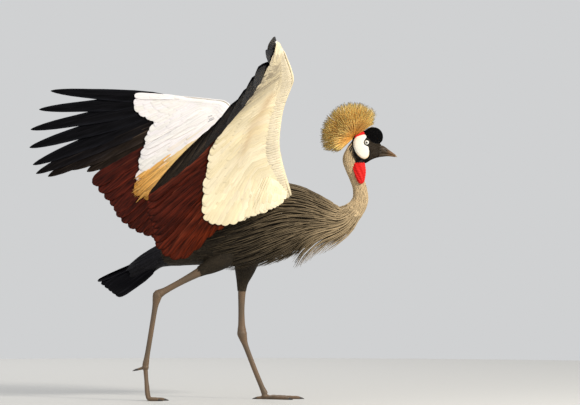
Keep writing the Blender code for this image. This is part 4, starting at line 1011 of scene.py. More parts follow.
COVERT_RINGS = (0.0, 0.12, 0.3, 0.55, 0.78, 0.90, 0.96, 0.99, 1.0)
COVERT_FRACTIONS = (0.30, 0.66, 0.95, 1.0, 0.98, 0.86, 0.66, 0.42, 0.14)
MARGIN_RINGS = (0.0, 0.3, 0.65, 0.9, 1.0)
MARGIN_FRACTIONS = (0.45, 0.95, 1.0, 0.66, 0.16)


def covert_tints(stations, share, way, rng):
    """Colours by station and ring: white above, cream below, gold on the inner ones above, and a
    painted crease shade below.
    """
    count = len(stations)
    tone = rng.uniform(-1.0, 1.0, (count, 1, 1))
    at = np.broadcast_to(stations[:, None], share.shape)[..., None]
    back = share[..., None]
    if way > 0:
        colour = WHITE + tone * np.array((0.02, 0.01, 0.04))
        inner = 1.0 - smoothstep(4.45, 4.95, at + 0.18 * rng.uniform(-1.0, 1.0, (count, 1, 1)))
        pale = inner * smoothstep(0.26, 0.46, back)
        deep = inner * smoothstep(0.50, 0.86, back)
        colour = colour * (1.0 - pale) + PALE_GOLD * (1.0 + 0.1 * tone) * pale
        return np.clip(colour * (1.0 - deep) + GOLD * (1.0 + 0.35 * tone) * deep, 0.0, 0.95)
    colour = (CREAM + tone * np.array((0.03, 0.035, 0.05))) * (
        1.0 + 0.06 * rng.uniform(-1.0, 1.0, (count, 1, 1)))
    grey = (smoothstep(6.3, 7.6, at) * smoothstep(0.02, 0.22, back)
            * (1.0 - smoothstep(9.3, 9.9, at)) * (0.60 + 0.38 * tone))
    colour = colour * (1.0 - grey) + np.array((0.33, 0.275, 0.19)) * grey
    # A brown band along a crease of the underside is painted shade of the fold.
    crease_shade = 0.5 * np.exp(-((back - 0.30 - 0.04 * (6.0 - at)) / 0.07) ** 2) * (
        smoothstep(3.0, 4.2, at) * (1.0 - smoothstep(6.2, 7.0, at)))
    return np.clip(colour * (1.0 - crease_shade) + np.array((0.48, 0.28, 0.12)) * crease_shade, 0.0, 0.95)


def covert_beds(label, wing, way, rng):
    cover = Cover(wing, way)
    limit_rows = COVERT_LIMITS[label, way]
    beds = []
    tiers = (
        # share of the way to the limit where tips end, where roots are, count, lift of
        # the middle, lift of the tip
        (1.00, 0.34, 50, 0.0004, 0.0006),
        (0.85, 0.22, 50, 0.0011, 0.0006),
        (0.69, 0.12, 52, 0.0018, 0.0011),
        (0.50, 0.05, 56, 0.0025, 0.0018),
    )
    ring_at = np.array(COVERT_RINGS)
    fine = np.linspace(0.14, 9.85, 400)
    far = cover.read(cover.flesh, fine) + band(fine, limit_rows) * cover.read(cover.length, fine)
    travelled = np.cumsum(cover.spacing(fine, np.minimum(far, COVER_REACH - 0.004)) + 0.0008)
    for end_share, start_share, count, rise, tip_rise in tiers:
        station = np.interp(np.linspace(travelled[0], travelled[-1], count), travelled, fine)
        station = np.clip(station + rng.uniform(-0.04, 0.04, count), 0.12, 9.9)
        fraction = band(station, limit_rows)
        limit = cover.read(cover.flesh, station) + fraction * cover.read(cover.length, station)
        limit = np.minimum(limit, COVER_REACH - 0.004) * (1.0 + 0.010 * rng.uniform(-1, 1, count))
        wide = np.clip(cover.spacing(station, limit * end_share) * 2.2, 0.018, 0.042)
        lift = -0.0010 + (rise + 0.0010) * smoothstep(0.0, 0.50, ring_at)
        lift = lift + (tip_rise - rise) * smoothstep(0.5, 1.0, ring_at)
        tilt = math.radians(2.6) * wing.side * way * rng.uniform(0.6, 1.4, count)
        bed = cover.row(station, limit * start_share, limit * end_share, wide, ring_at,
                        COVERT_FRACTIONS, SMALL_SECTION, 0.0004, lift, tilt, 0.05,
                        rng.uniform(-0.06, 0.06, count))
        share = start_share + (end_share - start_share) * ring_at[None]
        share = np.broadcast_to(share, (count, len(ring_at)))
        beds.append(bed.dye(covert_tints(station, share, way, rng), 1.05, 0.93))
    for number in range(9 if way > 0 else 4):
        back = (0.004 + 0.0085 * number) if way > 0 else (0.0012 + 0.0050 * number)
        count = 84
        station = np.linspace(0.12, 9.85, count) + (number % 2) * (0.06 if way > 0 else 0.0)
        station = station + rng.uniform(-0.02, 0.02, count)
        flesh = cover.read(cover.flesh, station)
        start = np.minimum(back, flesh * 1.1) + rng.uniform(-0.001, 0.001, count)
        start = np.maximum(start, 0.0)
        end = start + (0.021 if way > 0 else 0.026) + 0.0010 * number
        margin_at = np.array(MARGIN_RINGS)
        lift = -0.0015 + (0.0036 - 0.0002 * number) * smoothstep(0.0, 0.35, margin_at)
        lift = lift - (0.0 if way > 0 else 0.0010) * smoothstep(0.5, 1.0, margin_at)
        bed = cover.row(station, start, end, np.full(count, 0.0135 if way > 0 else 0.0098),
                        margin_at, MARGIN_FRACTIONS, SMALL_SECTION, 0.0004, lift,
                        math.radians(3.0) * wing.side * way, 0.12,
                        rng.uniform(-0.03, 0.03, count))
        colour = covert_tints(station, np.zeros((count, len(margin_at))), way, rng)
        if way < 0:
            pale_grey = (0.45 * smoothstep(0.6, 1.6, station))[:, None, None]
            colour = colour * (1.0 - pale_grey) + np.array((0.62, 0.55, 0.44)) * pale_grey
        beds.append(bed.dye(colour, 1.04 if way > 0 else 0.93, 1.0))
    return beds


def nose_beds(wing, rng):
    """Tiny feathers wrapped round the leading edge, backwards over and under it."""
    rings = wing.flesh_rings(np.linspace(0.05, 9.98, 90), 1.0)
    nose = Sheet(rings, True, 1.0)
    middle = rings[45].mean(0)
    at = np.array((0.5,))
    outward = nose.read(at, at * 0.2)[0] - middle
    nose.facing = float(np.sign(nose.normal(at, at * 0.2)[0] @ outward))
    margin_at = np.array(MARGIN_RINGS)
    lift = -0.0012 + 0.0030 * smoothstep(0.0, 0.4, margin_at)
    lift = lift - 0.0014 * smoothstep(0.5, 1.0, margin_at)
    beds = []
    for root, tip, tone in ((0.925, 1.055, WHITE), (0.992, 0.845, CREAM), (0.905, 1.02, WHITE),
                            (1.012, 0.875, CREAM)):
        count = 120
        a = (np.arange(count) + rng.uniform(0.2, 0.8, count)) / count
        shade = rng.uniform(0.93, 1.03, (count, 1))
        bed = laid(nose, pair(a, a), pair(np.full(count, root), np.full(count, tip)),
                   np.full(count, 0.0095), margin_at, MARGIN_FRACTIONS, SMALL_SECTION, 0.0004,
                   lift, math.radians(3.0), 0.12)
        beds.append(bed.tint(tone * shade * 0.97, tone * shade))
    return beds


def armpit_beds(rng):
    """Feathers of the near armpit, fanned from the shoulder over the wing's lower border."""
    roots = np.array(((0.203, -0.092, 0.590), (0.187, -0.106, 0.611), (0.171, -0.1160, 0.630),
                      (0.156, -0.1235, 0.650)))
    tips = np.array(((0.200, -0.098, 0.556), (0.168, -0.110, 0.538), (0.125, -0.1165, 0.522),
                     (0.080, -0.1160, 0.503)))
    across = np.linspace(0.0, 1.0, 24)
    down = np.linspace(0.0, 1.0, 24)[:, None, None]
    sheet = Sheet(run_through(roots, across) * (1.0 - down) + run_through(tips, across) * down,
                  False, 1.0)
    at = np.array((0.5,))
    sheet.facing = -float(np.sign(sheet.normal(at, at)[0, 1]))
    ring_at = np.array(COVERT_RINGS)
    beds = []
    for start, end, count, rise in ((0.12, 1.0, 15, 0.0018), (0.0, 0.74, 15, 0.0026),
                                    (-0.12, 0.46, 15, 0.0032)):
        b = np.linspace(0.0, 1.0, count) + rng.uniform(-0.015, 0.015, count)
        lift = -0.0045 + (rise + 0.0045) * smoothstep(0.0, 0.22, ring_at)
        lift = lift - 0.0006 * smoothstep(0.6, 1.0, ring_at)
        lift = lift[None] - 0.0035 * smoothstep(0.55, 1.0, b)[:, None]
        bed = laid(sheet, pair(np.full(count, start), end + rng.uniform(-0.03, 0.03, count)),
                   pair(b, b), np.full(count, 0.021), ring_at, COVERT_FRACTIONS,
                   SMALL_SECTION, 0.0004, lift, math.radians(2.6) * RIGHT_WING.side, 0.05)
        share = np.broadcast_to(ring_at * 0.5, (count, len(ring_at)))
        beds.append(bed.dye(covert_tints(np.full(count, 1.8), share, -1, rng), 1.05, 0.93))
    return beds


def gold_fringe(label, wing, rng):
    """Loose fine plumes that run past the last inner coverts of the upper side."""
    cover = Cover(wing, 1)
    rings = np.array((0.0, 0.2, 0.45, 0.7, 0.88, 1.0))
    beds = []
    for start_share, past in ((0.62, 0.004), (0.72, 0.009), (0.82, 0.014)):
        count = 110
        station = rng.uniform(1.2, 4.85, count)
        limit = cover.read(cover.flesh, station) + band(
            station, COVERT_LIMITS[label, 1]) * cover.read(cover.length, station)
        end = limit * rng.uniform(0.94, 1.0, count) + past * rng.uniform(0.2, 1.0, count)
        end = np.minimum(end, COVER_REACH - 0.002)
        start = limit * (start_share + rng.uniform(-0.10, 0.06, count))
        lift = -0.0005 + 0.0036 * smoothstep(0.0, 0.6, rings) * rng.uniform(0.6, 1.2, (count, 1))
        bed = cover.row(station, start, end, rng.uniform(0.0035, 0.0060, count),
                        rings, (0.4, 0.9, 1.0, 0.8, 0.5, 0.08), SMALL_SECTION, 0.0004, lift,
                        math.radians(8.0) * rng.uniform(-1.0, 1.0, count), 0.1,
                        rng.uniform(-0.12, 0.12, count))
        tone = rng.uniform(0.7, 1.35, (count, 1))
        near = blended(PALE_GOLD * tone, GOLD * tone, np.full(count, 0.35))
        beds.append(bed.tint(near, GOLD * tone, rim=near * 0.5 + GOLD * tone * 0.4, rim_from=0.3))
    return beds


covert_material = plumage_material("white wing coverts", 0.65, 0.12, 0.09, 0.25, 260.0)
for label, wing in WINGS.items():
    for way, place in ((1, "upper"), (-1, "under")):
        rng = np.random.RandomState(31 + way + wing.side * 3)
        beds = covert_beds(label, wing, way, rng)
        if way > 0:
            beds += gold_fringe(label, wing, rng) + nose_beds(wing, rng)
        elif label == "right":
            beds += armpit_beds(rng)
        item = joined("coverts_" + place + "_" + label, beds, covert_material)
        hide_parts("wing_" + label + "_arm", "wing_" + label + "_hand")

# Coat of the trunk: dark smooth contour feathers on the body, fine pale ones on the
# neck, and over them long narrow hackles that spread from the neck's base over
# shoulder, back and breast. Each grows from the skin and lies towards the rump.
TUFT_SECTION = ((-1.0, 0.0), (0.0, 1.0), (1.0, 0.0))
LOCK_SECTION = ((-1.0, 0.0), (0.0, 1.0), (1.0, 0.0), (0.0, -0.8))
BODY_DARK = np.array((0.0200, 0.0150, 0.0095))
HACKLE_TAN = np.array((0.27, 0.20, 0.115))
HACKLE_DARK = np.array((0.022, 0.016, 0.010))


def girth(a):
    rows = trunk_rows[(np.clip(a, 0.0, 1.0) * 239).astype(int)]
    return 2.0 * math.pi * np.sqrt((rows[..., 2] ** 2 + rows[..., 3] ** 2) / 2.0)


def staggered(rows, spacing, jitter, rng):
    """Roots in rings round the trunk, at rows of its length, spacing metres apart."""
    spots = []
    for number, (a, gap) in enumerate(zip(rows, np.broadcast_to(spacing, len(rows)))):
        count = max(int(girth(np.array(a)) / gap), 8)
        b = (np.arange(count) + 0.5 * (number % 2)) / count
        b = b + rng.uniform(-jitter, jitter, count) / count
        own = a + rng.uniform(-jitter, jitter, count) * gap / TRUNK_LENGTH
        spots.append(pair(own, b))
    return np.concatenate(spots)


def trunk_coat(rng, start, stop, step, spacing, length, width, ring_at, fractions, section,
               thickness, lift_root, lift_tip, camber, jitter):
    """Feathers over part of the trunk; length and width are functions of the place."""
    spots = staggered(np.arange(start, stop, step), spacing, jitter, rng)
    a, b = spots.T
    long = length(a) * (1.0 + 0.12 * rng.uniform(-1.0, 1.0, len(a)))
    tip = a - long / TRUNK_LENGTH
    drift = rng.uniform(-0.12, 0.12, len(a)) * long / girth(a)
    ring_at = np.array(ring_at)
    rise = smoothstep(0.0, 0.6, ring_at)[None]
    top = lift_tip * (1.0 + 0.35 * rng.uniform(-1.0, 1.0, len(a)))[:, None]
    lift = lift_root * (1.0 - rise) + top * rise
    keep = tip > 0.0
    bed = laid(TRUNK, pair(a, tip)[keep], pair(b, b + drift)[keep],
               (width(a) * (1.0 + 0.15 * rng.uniform(-1.0, 1.0, len(a))))[keep], ring_at,
               fractions, section, thickness, lift[keep],
               math.radians(4.0) * rng.uniform(-1.0, 1.0, int(keep.sum())), camber)
    return bed, a[keep], b[keep]


def body_tints(a, b, rng):
    """Brownish black, a little paler and browner towards the neck and the belly."""
    front = smoothstep(0.45, 0.72, a)[:, None]
    low = smoothstep(0.0, 0.5, -np.cos(b * 2.0 * math.pi))[:, None]
    colour = BODY_DARK * (1.0 + 0.35 * low) * (1.0 - front) + BODY_DARK * 1.5 * front
    colour = blended(colour, NECK_PALE * 0.8, smoothstep(NECK_START - 0.05, NECK_START - 0.01, a))
    return colour * (1.0 + 0.22 * rng.uniform(-1.0, 1.0, len(a)))[:, None]


rng = np.random.RandomState(11)
body_bed, a, b = trunk_coat(
    rng, 0.035, NECK_START + 0.02, 0.0095 / TRUNK_LENGTH, 0.0085,
    lambda a: 0.034 - 0.016 * smoothstep(0.45, 0.70, a),
    lambda a: 0.0150 - 0.006 * smoothstep(0.45, 0.70, a),
    (0.0, 0.25, 0.55, 0.82, 1.0), (0.35, 0.85, 1.0, 0.75, 0.18), SMALL_SECTION, 0.0004,
    -0.0035, 0.0010, 0.16, 0.25)
tone = body_tints(a, b, rng)
body_bed.tint(tone * 0.8, tone, rim=tone * 1.5, rim_from=0.6, quill=tone * 0.7)
dark_material = plumage_material("dark body feathers", 0.55, 0.35, 0.45, 0.12)
body_coat = joined("body_feathers", [body_bed], dark_material)
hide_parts("torso")

neck_bed, a, b = trunk_coat(
    rng, NECK_START - 0.06, 0.99, 0.0036 / TRUNK_LENGTH, 0.0021,
    lambda a: 0.0185 + 0.014 * (1.0 - smoothstep(NECK_START - 0.05, NECK_START + 0.06, a)),
    lambda a: 0.0021 + 0.0012 * (1.0 - smoothstep(NECK_START - 0.05, NECK_START + 0.06, a)),
    (0.0, 0.3, 0.65, 0.88, 1.0), (0.6, 1.0, 0.8, 0.42, 0.06), TUFT_SECTION, 0.0003,
    -0.0010, 0.0002, 0.0, 0.6)
roots = neck_bed.places[:, 0].mean(1)
tone = (1.0 + 0.10 * rng.uniform(-1.0, 1.0, len(a)))[:, None]
pale = blended(NECK_PALE * tone, HACKLE_TAN * tone, 1.0 - smoothstep(
    NECK_START - 0.04, NECK_START + 0.05, a))
high = roots[:, 2] - 0.25 * (0.42 - roots[:, 0])
pale = blended(pale, head_tints(roots), smoothstep(0.655, 0.662, high))
neck_bed.tint(pale * 0.95, pale, rim=pale * 1.03, rim_from=0.5)
bare = np.minimum(edge_distance(roots[:, 0], roots[:, 2], CHEEK),
                  edge_distance(roots[:, 0], roots[:, 2], RED_PATCH))
neck_bed.keep((bare > 0.0025) | (high < 0.655))
neck_material = plumage_material("pale neck feathers", 0.8, 0.15, 0.08, 0.2)
neck_coat = joined("neck_feathers", [neck_bed], neck_material)
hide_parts("neck")

HACKLE_TIERS = (
    # place of the root on the trunk, length, width, lift of the tip, count on a ring
    (0.405, 0.540, 0.040, 0.0052, 0.0030, 30), (0.398, 0.526, 0.050, 0.0056, 0.0038, 34),
    (0.389, 0.517, 0.058, 0.0060, 0.0046, 38), (0.378, 0.510, 0.066, 0.0062, 0.0052, 42),
    (0.365, 0.505, 0.074, 0.0064, 0.0058, 46), (0.350, 0.503, 0.082, 0.0066, 0.0064, 50),
    (0.333, 0.504, 0.090, 0.0068, 0.0070, 54), (0.314, 0.506, 0.098, 0.0070, 0.0076, 58),
    (0.294, 0.510, 0.104, 0.0072, 0.0082, 62), (0.272, 0.512, 0.108, 0.0072, 0.0086, 66),
    (0.250, 0.513, 0.110, 0.0072, 0.0088, 68), (0.228, 0.512, 0.110, 0.0070, 0.0086, 70),
    (0.206, 0.510, 0.105, 0.0066, 0.0080, 64), (0.182, 0.506, 0.105, 0.0062, 0.0072, 58),
    (0.158, 0.500, 0.100, 0.0058, 0.0064, 54), (0.134, 0.493, 0.095, 0.0054, 0.0056, 50),
    (0.110, 0.485, 0.090, 0.0050, 0.0050, 46), (0.085, 0.476, 0.085, 0.0046, 0.0044, 40),
    (0.058, 0.466, 0.080, 0.0044, 0.0040, 34),
)
HACKLE_RINGS = np.array((0.0, 0.10, 0.25, 0.42, 0.60, 0.76, 0.90, 1.0))
HACKLE_FRACTIONS = (0.45, 0.85, 1.0, 0.96, 0.84, 0.62, 0.34, 0.06)
beds = []
for x, z, length, width, rise, count in HACKLE_TIERS:
    count = int(count * 1.35)
    width = width * 0.78
    a = trunk_fraction(x, z) + rng.uniform(-0.008, 0.008, count)
    b = (np.arange(count) + rng.uniform(-0.35, 0.35, count)) / count
    low = np.maximum(0.0, -np.cos(b * 2.0 * math.pi))
    side = np.abs(np.sin(b * 2.0 * math.pi))
    ahead = smoothstep(0.30, 0.36, x)
    long = length * (0.78 + 0.22 * side + 0.05 * low) + 0.050 * ahead * low
    long = long * (1.0 + 0.1 * rng.uniform(-1.0, 1.0, count))
    tip = a - long / TRUNK_LENGTH
    turn = rng.uniform(-0.012, 0.012, count)
    rise = rise * (0.45 + 0.55 * np.maximum(side, low)) * (1.0 + 0.4 * rng.uniform(-1, 1, count))
    lift = -0.002 + (rise + 0.002)[:, None] * np.minimum(1.0, HACKLE_RINGS * 2.2)[None]
    hang = np.zeros((count, len(HACKLE_RINGS), 3))
    hang[..., 2] = -(low * long * (0.10 + 0.38 * ahead))[:, None] * HACKLE_RINGS ** 2
    bed = laid(TRUNK, pair(a, tip), pair(b, b + turn), width * rng.uniform(0.8, 1.2, count),
               HACKLE_RINGS, HACKLE_FRACTIONS, LOCK_SECTION, 0.0006, lift,
               math.radians(10.0) * rng.uniform(-1.0, 1.0, count), 0.1, hang)
    tone = (1.0 + 0.25 * rng.uniform(-1.0, 1.0, count))[:, None]
    near = smoothstep(0.32, 0.40, x) * np.ones(count)
    far = (1.0 - smoothstep(0.10, 0.34, x)) * (0.75 + 0.25 * (rng.uniform(size=count) < 0.6))
    middle = blended(HACKLE_TAN * tone, NECK_PALE * tone, near * 0.8)
    middle = blended(middle, HACKLE_TAN * 0.26 * tone, far)
    bed.tint(middle * 0.8, middle * 0.7, rim=blended(HACKLE_DARK * tone, middle, near * 0.7),
             rim_from=0.1)
    beds.append(bed)
hackle_material = plumage_material("grey hackles", 0.6, 0.3, 0.25, 0.15)
hackles = joined("hackles", beds, hackle_material)
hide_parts("torso")

# Thighs: short dark feathers down to the bare part of each shank.
beds = []
for label, rows in THIGH_ROWS.items():
    spine, long_way = even_rows(rows, 40, 3)
    sheet = Sheet(tube(spine, 40, 0.0), True, 1.0)
    probe = sheet.normal(np.array((0.5,)), np.array((0.0,)))[0]
    outward = sheet.read(np.array((0.5,)), np.array((0.0,)))[0] - spine[20, :3]
    sheet.facing = float(np.sign(probe @ outward))
    last = 0.93 if label == "left" else 0.80
    for number, a in enumerate(np.arange(0.10, last, 0.0055 / long_way)):
        around = 2.0 * math.pi * np.interp(a, np.linspace(0.0, 1.0, 40), spine[:, 3])
        count = max(int(around / 0.0042), 7)
        b = (np.arange(count) + 0.5 * (number % 2) + rng.uniform(-0.25, 0.25, count)) / count
        long = (0.027 - 0.014 * a) * rng.uniform(0.85, 1.15, count)
        rings = np.array((0.0, 0.3, 0.65, 0.88, 1.0))
        lift = -0.002 + 0.0032 * np.minimum(1.0, rings * 1.6)
        bed = laid(sheet, pair(np.full(count, a), np.minimum(a + long / long_way, 1.0)),
                   pair(b, b), (0.0075 - 0.0030 * a) * rng.uniform(0.85, 1.15, count), rings,
                   (0.4, 0.95, 1.0, 0.66, 0.12), SMALL_SECTION, 0.0004, lift,
                   math.radians(5.0) * rng.uniform(-1.0, 1.0, count), 0.15)
        tone = BODY_DARK * (1.0 + 0.5 * a) * (1.0 + 0.2 * rng.uniform(-1, 1, count))[:, None]
        beds.append(bed.tint(tone * 0.85, tone * 1.1, rim=tone * 1.3, rim_from=0.6))
thigh_coat = joined("thigh_feathers", beds, dark_material)
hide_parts("shank_left", "shank_right")

# Tail: twelve black quill feathers that stand like a steep roof, with rows of black
# coverts over and under their roots.
TAIL_ROWS = ((-0.300, 0.318, 0.0050, 0.0300), (-0.262, 0.334, 0.0120, 0.0340),
             (-0.226, 0.352, 0.0200, 0.0300), (-0.205, 0.366, 0.0235, 0.0260),
             (-0.182, 0.380, 0.0265, 0.0240), (-0.150, 0.400, 0.0275, 0.0265),
             (-0.118, 0.410, 0.0330, 0.0340), (-0.090, 0.420, 0.0420, 0.0460))
TAIL_PAIRS = 6
TAIL_MIDDLE = np.array((-0.318, 0.007, 0.333))
TAIL_OUTER = np.array((-0.266, 0.044, 0.294))
TAIL_ROOT_TOP = np.array((-0.160, 0.004, 0.400))
TAIL_ROOT_SIDE = np.array((-0.154, 0.015, 0.374))
TAIL_OUTLINE = ((0.0, 0.12), (0.06, 0.40), (0.15, 0.78), (0.35, 1.0), (0.6, 1.0), (0.82, 0.95),
                (0.92, 0.80), (0.965, 0.60), (0.99, 0.34), (1.0, 0.10))
at, fractions = np.array(TAIL_OUTLINE).T
middles, faces, tilts = [], [], []
for side in (-1.0, 1.0):
    for u in np.linspace(0.0, 1.0, TAIL_PAIRS):
        tip = TAIL_MIDDLE + (TAIL_OUTER - TAIL_MIDDLE) * u
        root = TAIL_ROOT_TOP + (TAIL_ROOT_SIDE - TAIL_ROOT_TOP) * u
        tip = tip + np.array((0.0, 0.012 * math.sin(math.pi * u), 0.0))
        face = unit(np.array((0.45, 0.15 + 1.1 * u, 0.9)))
        line = root + (tip - root) * at[:, None] + face * 0.015 * 0.6 * (
            at * (1.0 - at))[:, None]
        line[:, 2] += 0.0016 * (1.0 - u) * (side > 0.0)
        flip = np.array((1.0, side, 1.0))
        middles.append(line * flip)
        faces.append(np.broadcast_to(face * flip, line.shape))
        tilts.append(math.radians(9.0) * side)
tail_bed = Bed(np.array(middles), np.array(faces), np.full(12, 0.033), at, fractions,
               VANE_SECTION, VANE_THICKNESS, np.array(tilts), VANE_CAMBER,
               strip_patches(12), np.array((0.07, 0.98)))
tone = np.broadcast_to(BLACK_QUILL * 1.4, (12, 3))
tail_bed.tint(tone, tone, rim=tone * 2.0, rim_from=0.75, quill=tone * 2.6)
tail_feathers = joined("tail_feathers", [tail_bed], quill_material)
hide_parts("tail")

tail_rows, TAIL_LENGTH = even_rows(TAIL_ROWS, 60, 2)
tail_sheet = Sheet(trunk_grid(tail_rows, 40, 0.0), True, 1.0)
beds = []
for number, (a, long, wide, count) in enumerate((
        (0.98, 0.055, 0.018, 26), (0.92, 0.056, 0.018, 24), (0.86, 0.058, 0.018, 22),
        (0.80, 0.060, 0.019, 20), (0.74, 0.062, 0.020, 18), (0.68, 0.062, 0.020, 16),
        (0.62, 0.060, 0.020, 14), (0.56, 0.054, 0.020, 13))):
    b = (np.arange(count) + 0.5 * (number % 2) + rng.uniform(-0.15, 0.15, count)) / count
    rings = np.array((0.0, 0.2, 0.45, 0.7, 0.88, 0.96, 1.0))
    lift = -0.003 + 0.0052 * smoothstep(0.0, 0.5, rings)
    tip = np.full(count, a) - long * rng.uniform(0.92, 1.08, count) / TAIL_LENGTH
    bed = laid(tail_sheet, pair(np.full(count, a), np.maximum(tip, 0.02)), pair(b, b),
               np.full(count, wide), rings, (0.3, 0.8, 1.0, 0.98, 0.74, 0.44, 0.12),
               SMALL_SECTION, 0.0004, lift, math.radians(4.0), 0.14)
    tone = BLACK_QUILL * 2.0 * (1.0 + 0.3 * rng.uniform(-1.0, 1.0, count))[:, None]
    beds.append(bed.tint(tone, tone, rim=tone * 1.7, rim_from=0.6, quill=tone * 1.5))
tail_coverts = joined("tail_coverts", beds, dark_material)
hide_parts("tail")

# Feathers of the head: a cushion of black velvet on the crown, short flat black and
# charcoal feathers round the bare cheek and down the throat. Cheek and lids are bare.
FACE_SPACING = 0.00125


def spread_over(item, spacing, rng):
    """Roots about spacing apart over a mesh, with its normals there."""
    mesh = item.data
    mesh.calc_loop_triangles()
    corners = np.empty(len(mesh.loop_triangles) * 3, int)
    mesh.loop_triangles.foreach_get("vertices", corners)
    a, b, c = (corner_places(item) - BIRD_PLACE)[corners.reshape(-1, 3)].transpose(1, 0, 2)
    cross = np.cross(b - a, c - a)
    area = np.linalg.norm(cross, axis=1) / 2.0
    count = int(area.sum() / spacing ** 2 * 5.0)
    chosen = rng.choice(len(area), count, p=area / area.sum())
    u, v = rng.uniform(size=(2, count))
    over = u + v > 1.0
    u = np.where(over, 1.0 - u, u)[:, None]
    v = np.where(over, 1.0 - v, v)[:, None]
    places = a[chosen] + (b - a)[chosen] * u + (c - a)[chosen] * v
    cells = np.floor(places / spacing).astype(int)
    _, first = np.unique(cells, axis=0, return_index=True)
    return places[first], unit(cross[chosen[first]])


def sprouted(roots, normals, ways, long, wide, stand, ring_at, fractions, section, thickness,
             camber, patch):
    """Tufts from places on a skin, each along its way and bent back down to the skin."""
    ring_at = np.array(ring_at)
    ways = unit(ways - normals * (ways * normals).sum(-1, keepdims=True))
    t = ring_at[None, :, None]
    run = ways[:, None] * (long[:, None, None] * t)
    rise = normals[:, None] * (stand[:, None, None] * t * (1.6 - 0.6 * t))
    middle = roots[:, None] - normals[:, None] * 0.0005 + run + rise
    normal = np.broadcast_to(normals[:, None], middle.shape)
    return Bed(middle, normal, wide, ring_at, fractions, section, thickness, 0.0, camber, patch)


roots, normals = spread_over(head, FACE_SPACING, rng)
x, y, z = roots.T
cheek = edge_distance(x, z, CHEEK)
red = edge_distance(x, z, RED_PATCH)
eye = np.hypot(x - EYE_CENTRE[0], z - EYE_CENTRE[2])
flank = np.abs(y) > 0.006
on_cap = (((roots - CAP_CENTRE) / (CAP_RADII + 0.0005)) ** 2).sum(1) < 1.0
bare = ((cheek < 0.0008) | (red < 0.0008)) & flank & ~on_cap
feathered = ~bare & ((eye > 0.0086) | ~flank) & (on_cap | (x < 0.4750 + 0.0015 * np.sin(z * 900.0)))
patch = pair((x - 0.39) / 0.10 + (y > 0.0) * 0.0, (z - 0.65) / 0.13)
fore = np.array((0.480, 0.0, 0.712))

chosen = feathered & on_cap
count = int(chosen.sum())
ways = roots[chosen] - fore
tufts = sprouted(roots[chosen], normals[chosen], ways, 0.0036 * rng.uniform(0.8, 1.2, count),
                 np.full(count, 0.0016), 0.0013 * rng.uniform(0.7, 1.3, count),
                 (0.0, 0.4, 0.8, 1.0), (0.8, 1.0, 0.75, 0.2), TUFT_SECTION, 0.0004, 0.0,
                 patch[chosen])
tone = np.array((0.0045, 0.0045, 0.0050)) * rng.uniform(0.7, 1.4, count)[:, None]
tufts.tint(tone * 0.6, tone)
velvet_material = plumage_material("black velvet crown", 0.9, 0.1, 0.1, 0.05)
velvet = joined("cap_velvet", [tufts], velvet_material)
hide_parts("cap")

chosen = feathered & ~on_cap
count = int(chosen.sum())
low = smoothstep(0.0, 0.03, 0.700 - roots[chosen, 2])[:, None]
ways = np.array((-1.0, 0.0, -0.25)) * (1.0 - low) + np.array((-0.35, 0.0, -1.0)) * low
tufts = sprouted(roots[chosen], normals[chosen], ways, 0.0034 * rng.uniform(0.8, 1.2, count),
                 np.full(count, 0.0015), 0.0005 * rng.uniform(0.6, 1.4, count),
                 (0.0, 0.4, 0.8, 1.0), (0.7, 1.0, 0.7, 0.15), TUFT_SECTION, 0.0003, 0.0,
                 patch[chosen])
tone = head_tints(roots[chosen]) * rng.uniform(0.8, 1.25, count)[:, None]
tufts.tint(tone * 0.8, tone)
face_coat = joined("face_feathers", [tufts], velvet_material)
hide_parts("head")
bpy.data.objects.remove(head)

# Eyes: balls with an ivory iris round a black pupil under a wet, slightly domed
# cornea, in the round dark lids of the head's skin.
PUPIL_RADIUS = 0.0029
CORNEA_LIFT = 0.0007


def turned_shell(name, rows, sides, centre, side):
    """Surface turned about the eye's axis from rows of (outward place, radius)."""
    bm = bmesh.new()
    angle = np.arange(sides) * 2.0 * math.pi / sides
    rings = [np.stack([centre[0] + radius * np.cos(angle) * side,
                       np.full(sides, (centre[1] + out) * side),
                       centre[2] + radius * np.sin(angle)], -1) for out, radius in rows]
    shell(bm, rings)
    return placed_object(name, bm)


def eye_tints(item, side):
    places = corner_places(item) - BIRD_PLACE
    r = np.hypot(places[:, 0] - EYE_CENTRE[0], places[:, 2] - EYE_CENTRE[2])
    streak = 0.06 * np.sin(21.0 * np.arctan2(places[:, 2] - EYE_CENTRE[2],
                                             places[:, 0] - EYE_CENTRE[0]))
    iris = np.array((0.88, 0.87, 0.80)) * (1.0 + streak)[:, None]
    colour = blended(iris, np.array((0.003, 0.003, 0.003)),
                     1.0 - smoothstep(PUPIL_RADIUS - 0.0001, PUPIL_RADIUS + 0.0002, r))
    return blended(colour, np.array((0.06, 0.05, 0.045)), smoothstep(0.0056, 0.0063, r))


iris_material = skin_material("ivory iris", 0.35, 900.0, 0.0001)
iris_shader = iris_material.node_tree.nodes["Principled BSDF"]
iris_shader.inputs["Coat Weight"].default_value = 1.0
iris_shader.inputs["Coat Roughness"].default_value = 0.03
for label, side in (("left", 1.0), ("right", -1.0)):
    latitudes = np.linspace(0.06, math.pi - 0.06, 48)
    rows = [(EYE_RADIUS * math.cos(v) + CORNEA_LIFT * math.exp(-(EYE_RADIUS * math.sin(v)
                                                                 / 0.004) ** 2),
             EYE_RADIUS * math.sin(v)) for v in latitudes]
    ball = turned_shell("eyeball_" + label, rows, 64, EYE_CENTRE, side)
    paint(ball, eye_tints(ball, side))
    ball.data.materials.append(iris_material)
    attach(ball, "root")
    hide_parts("eye_" + label)
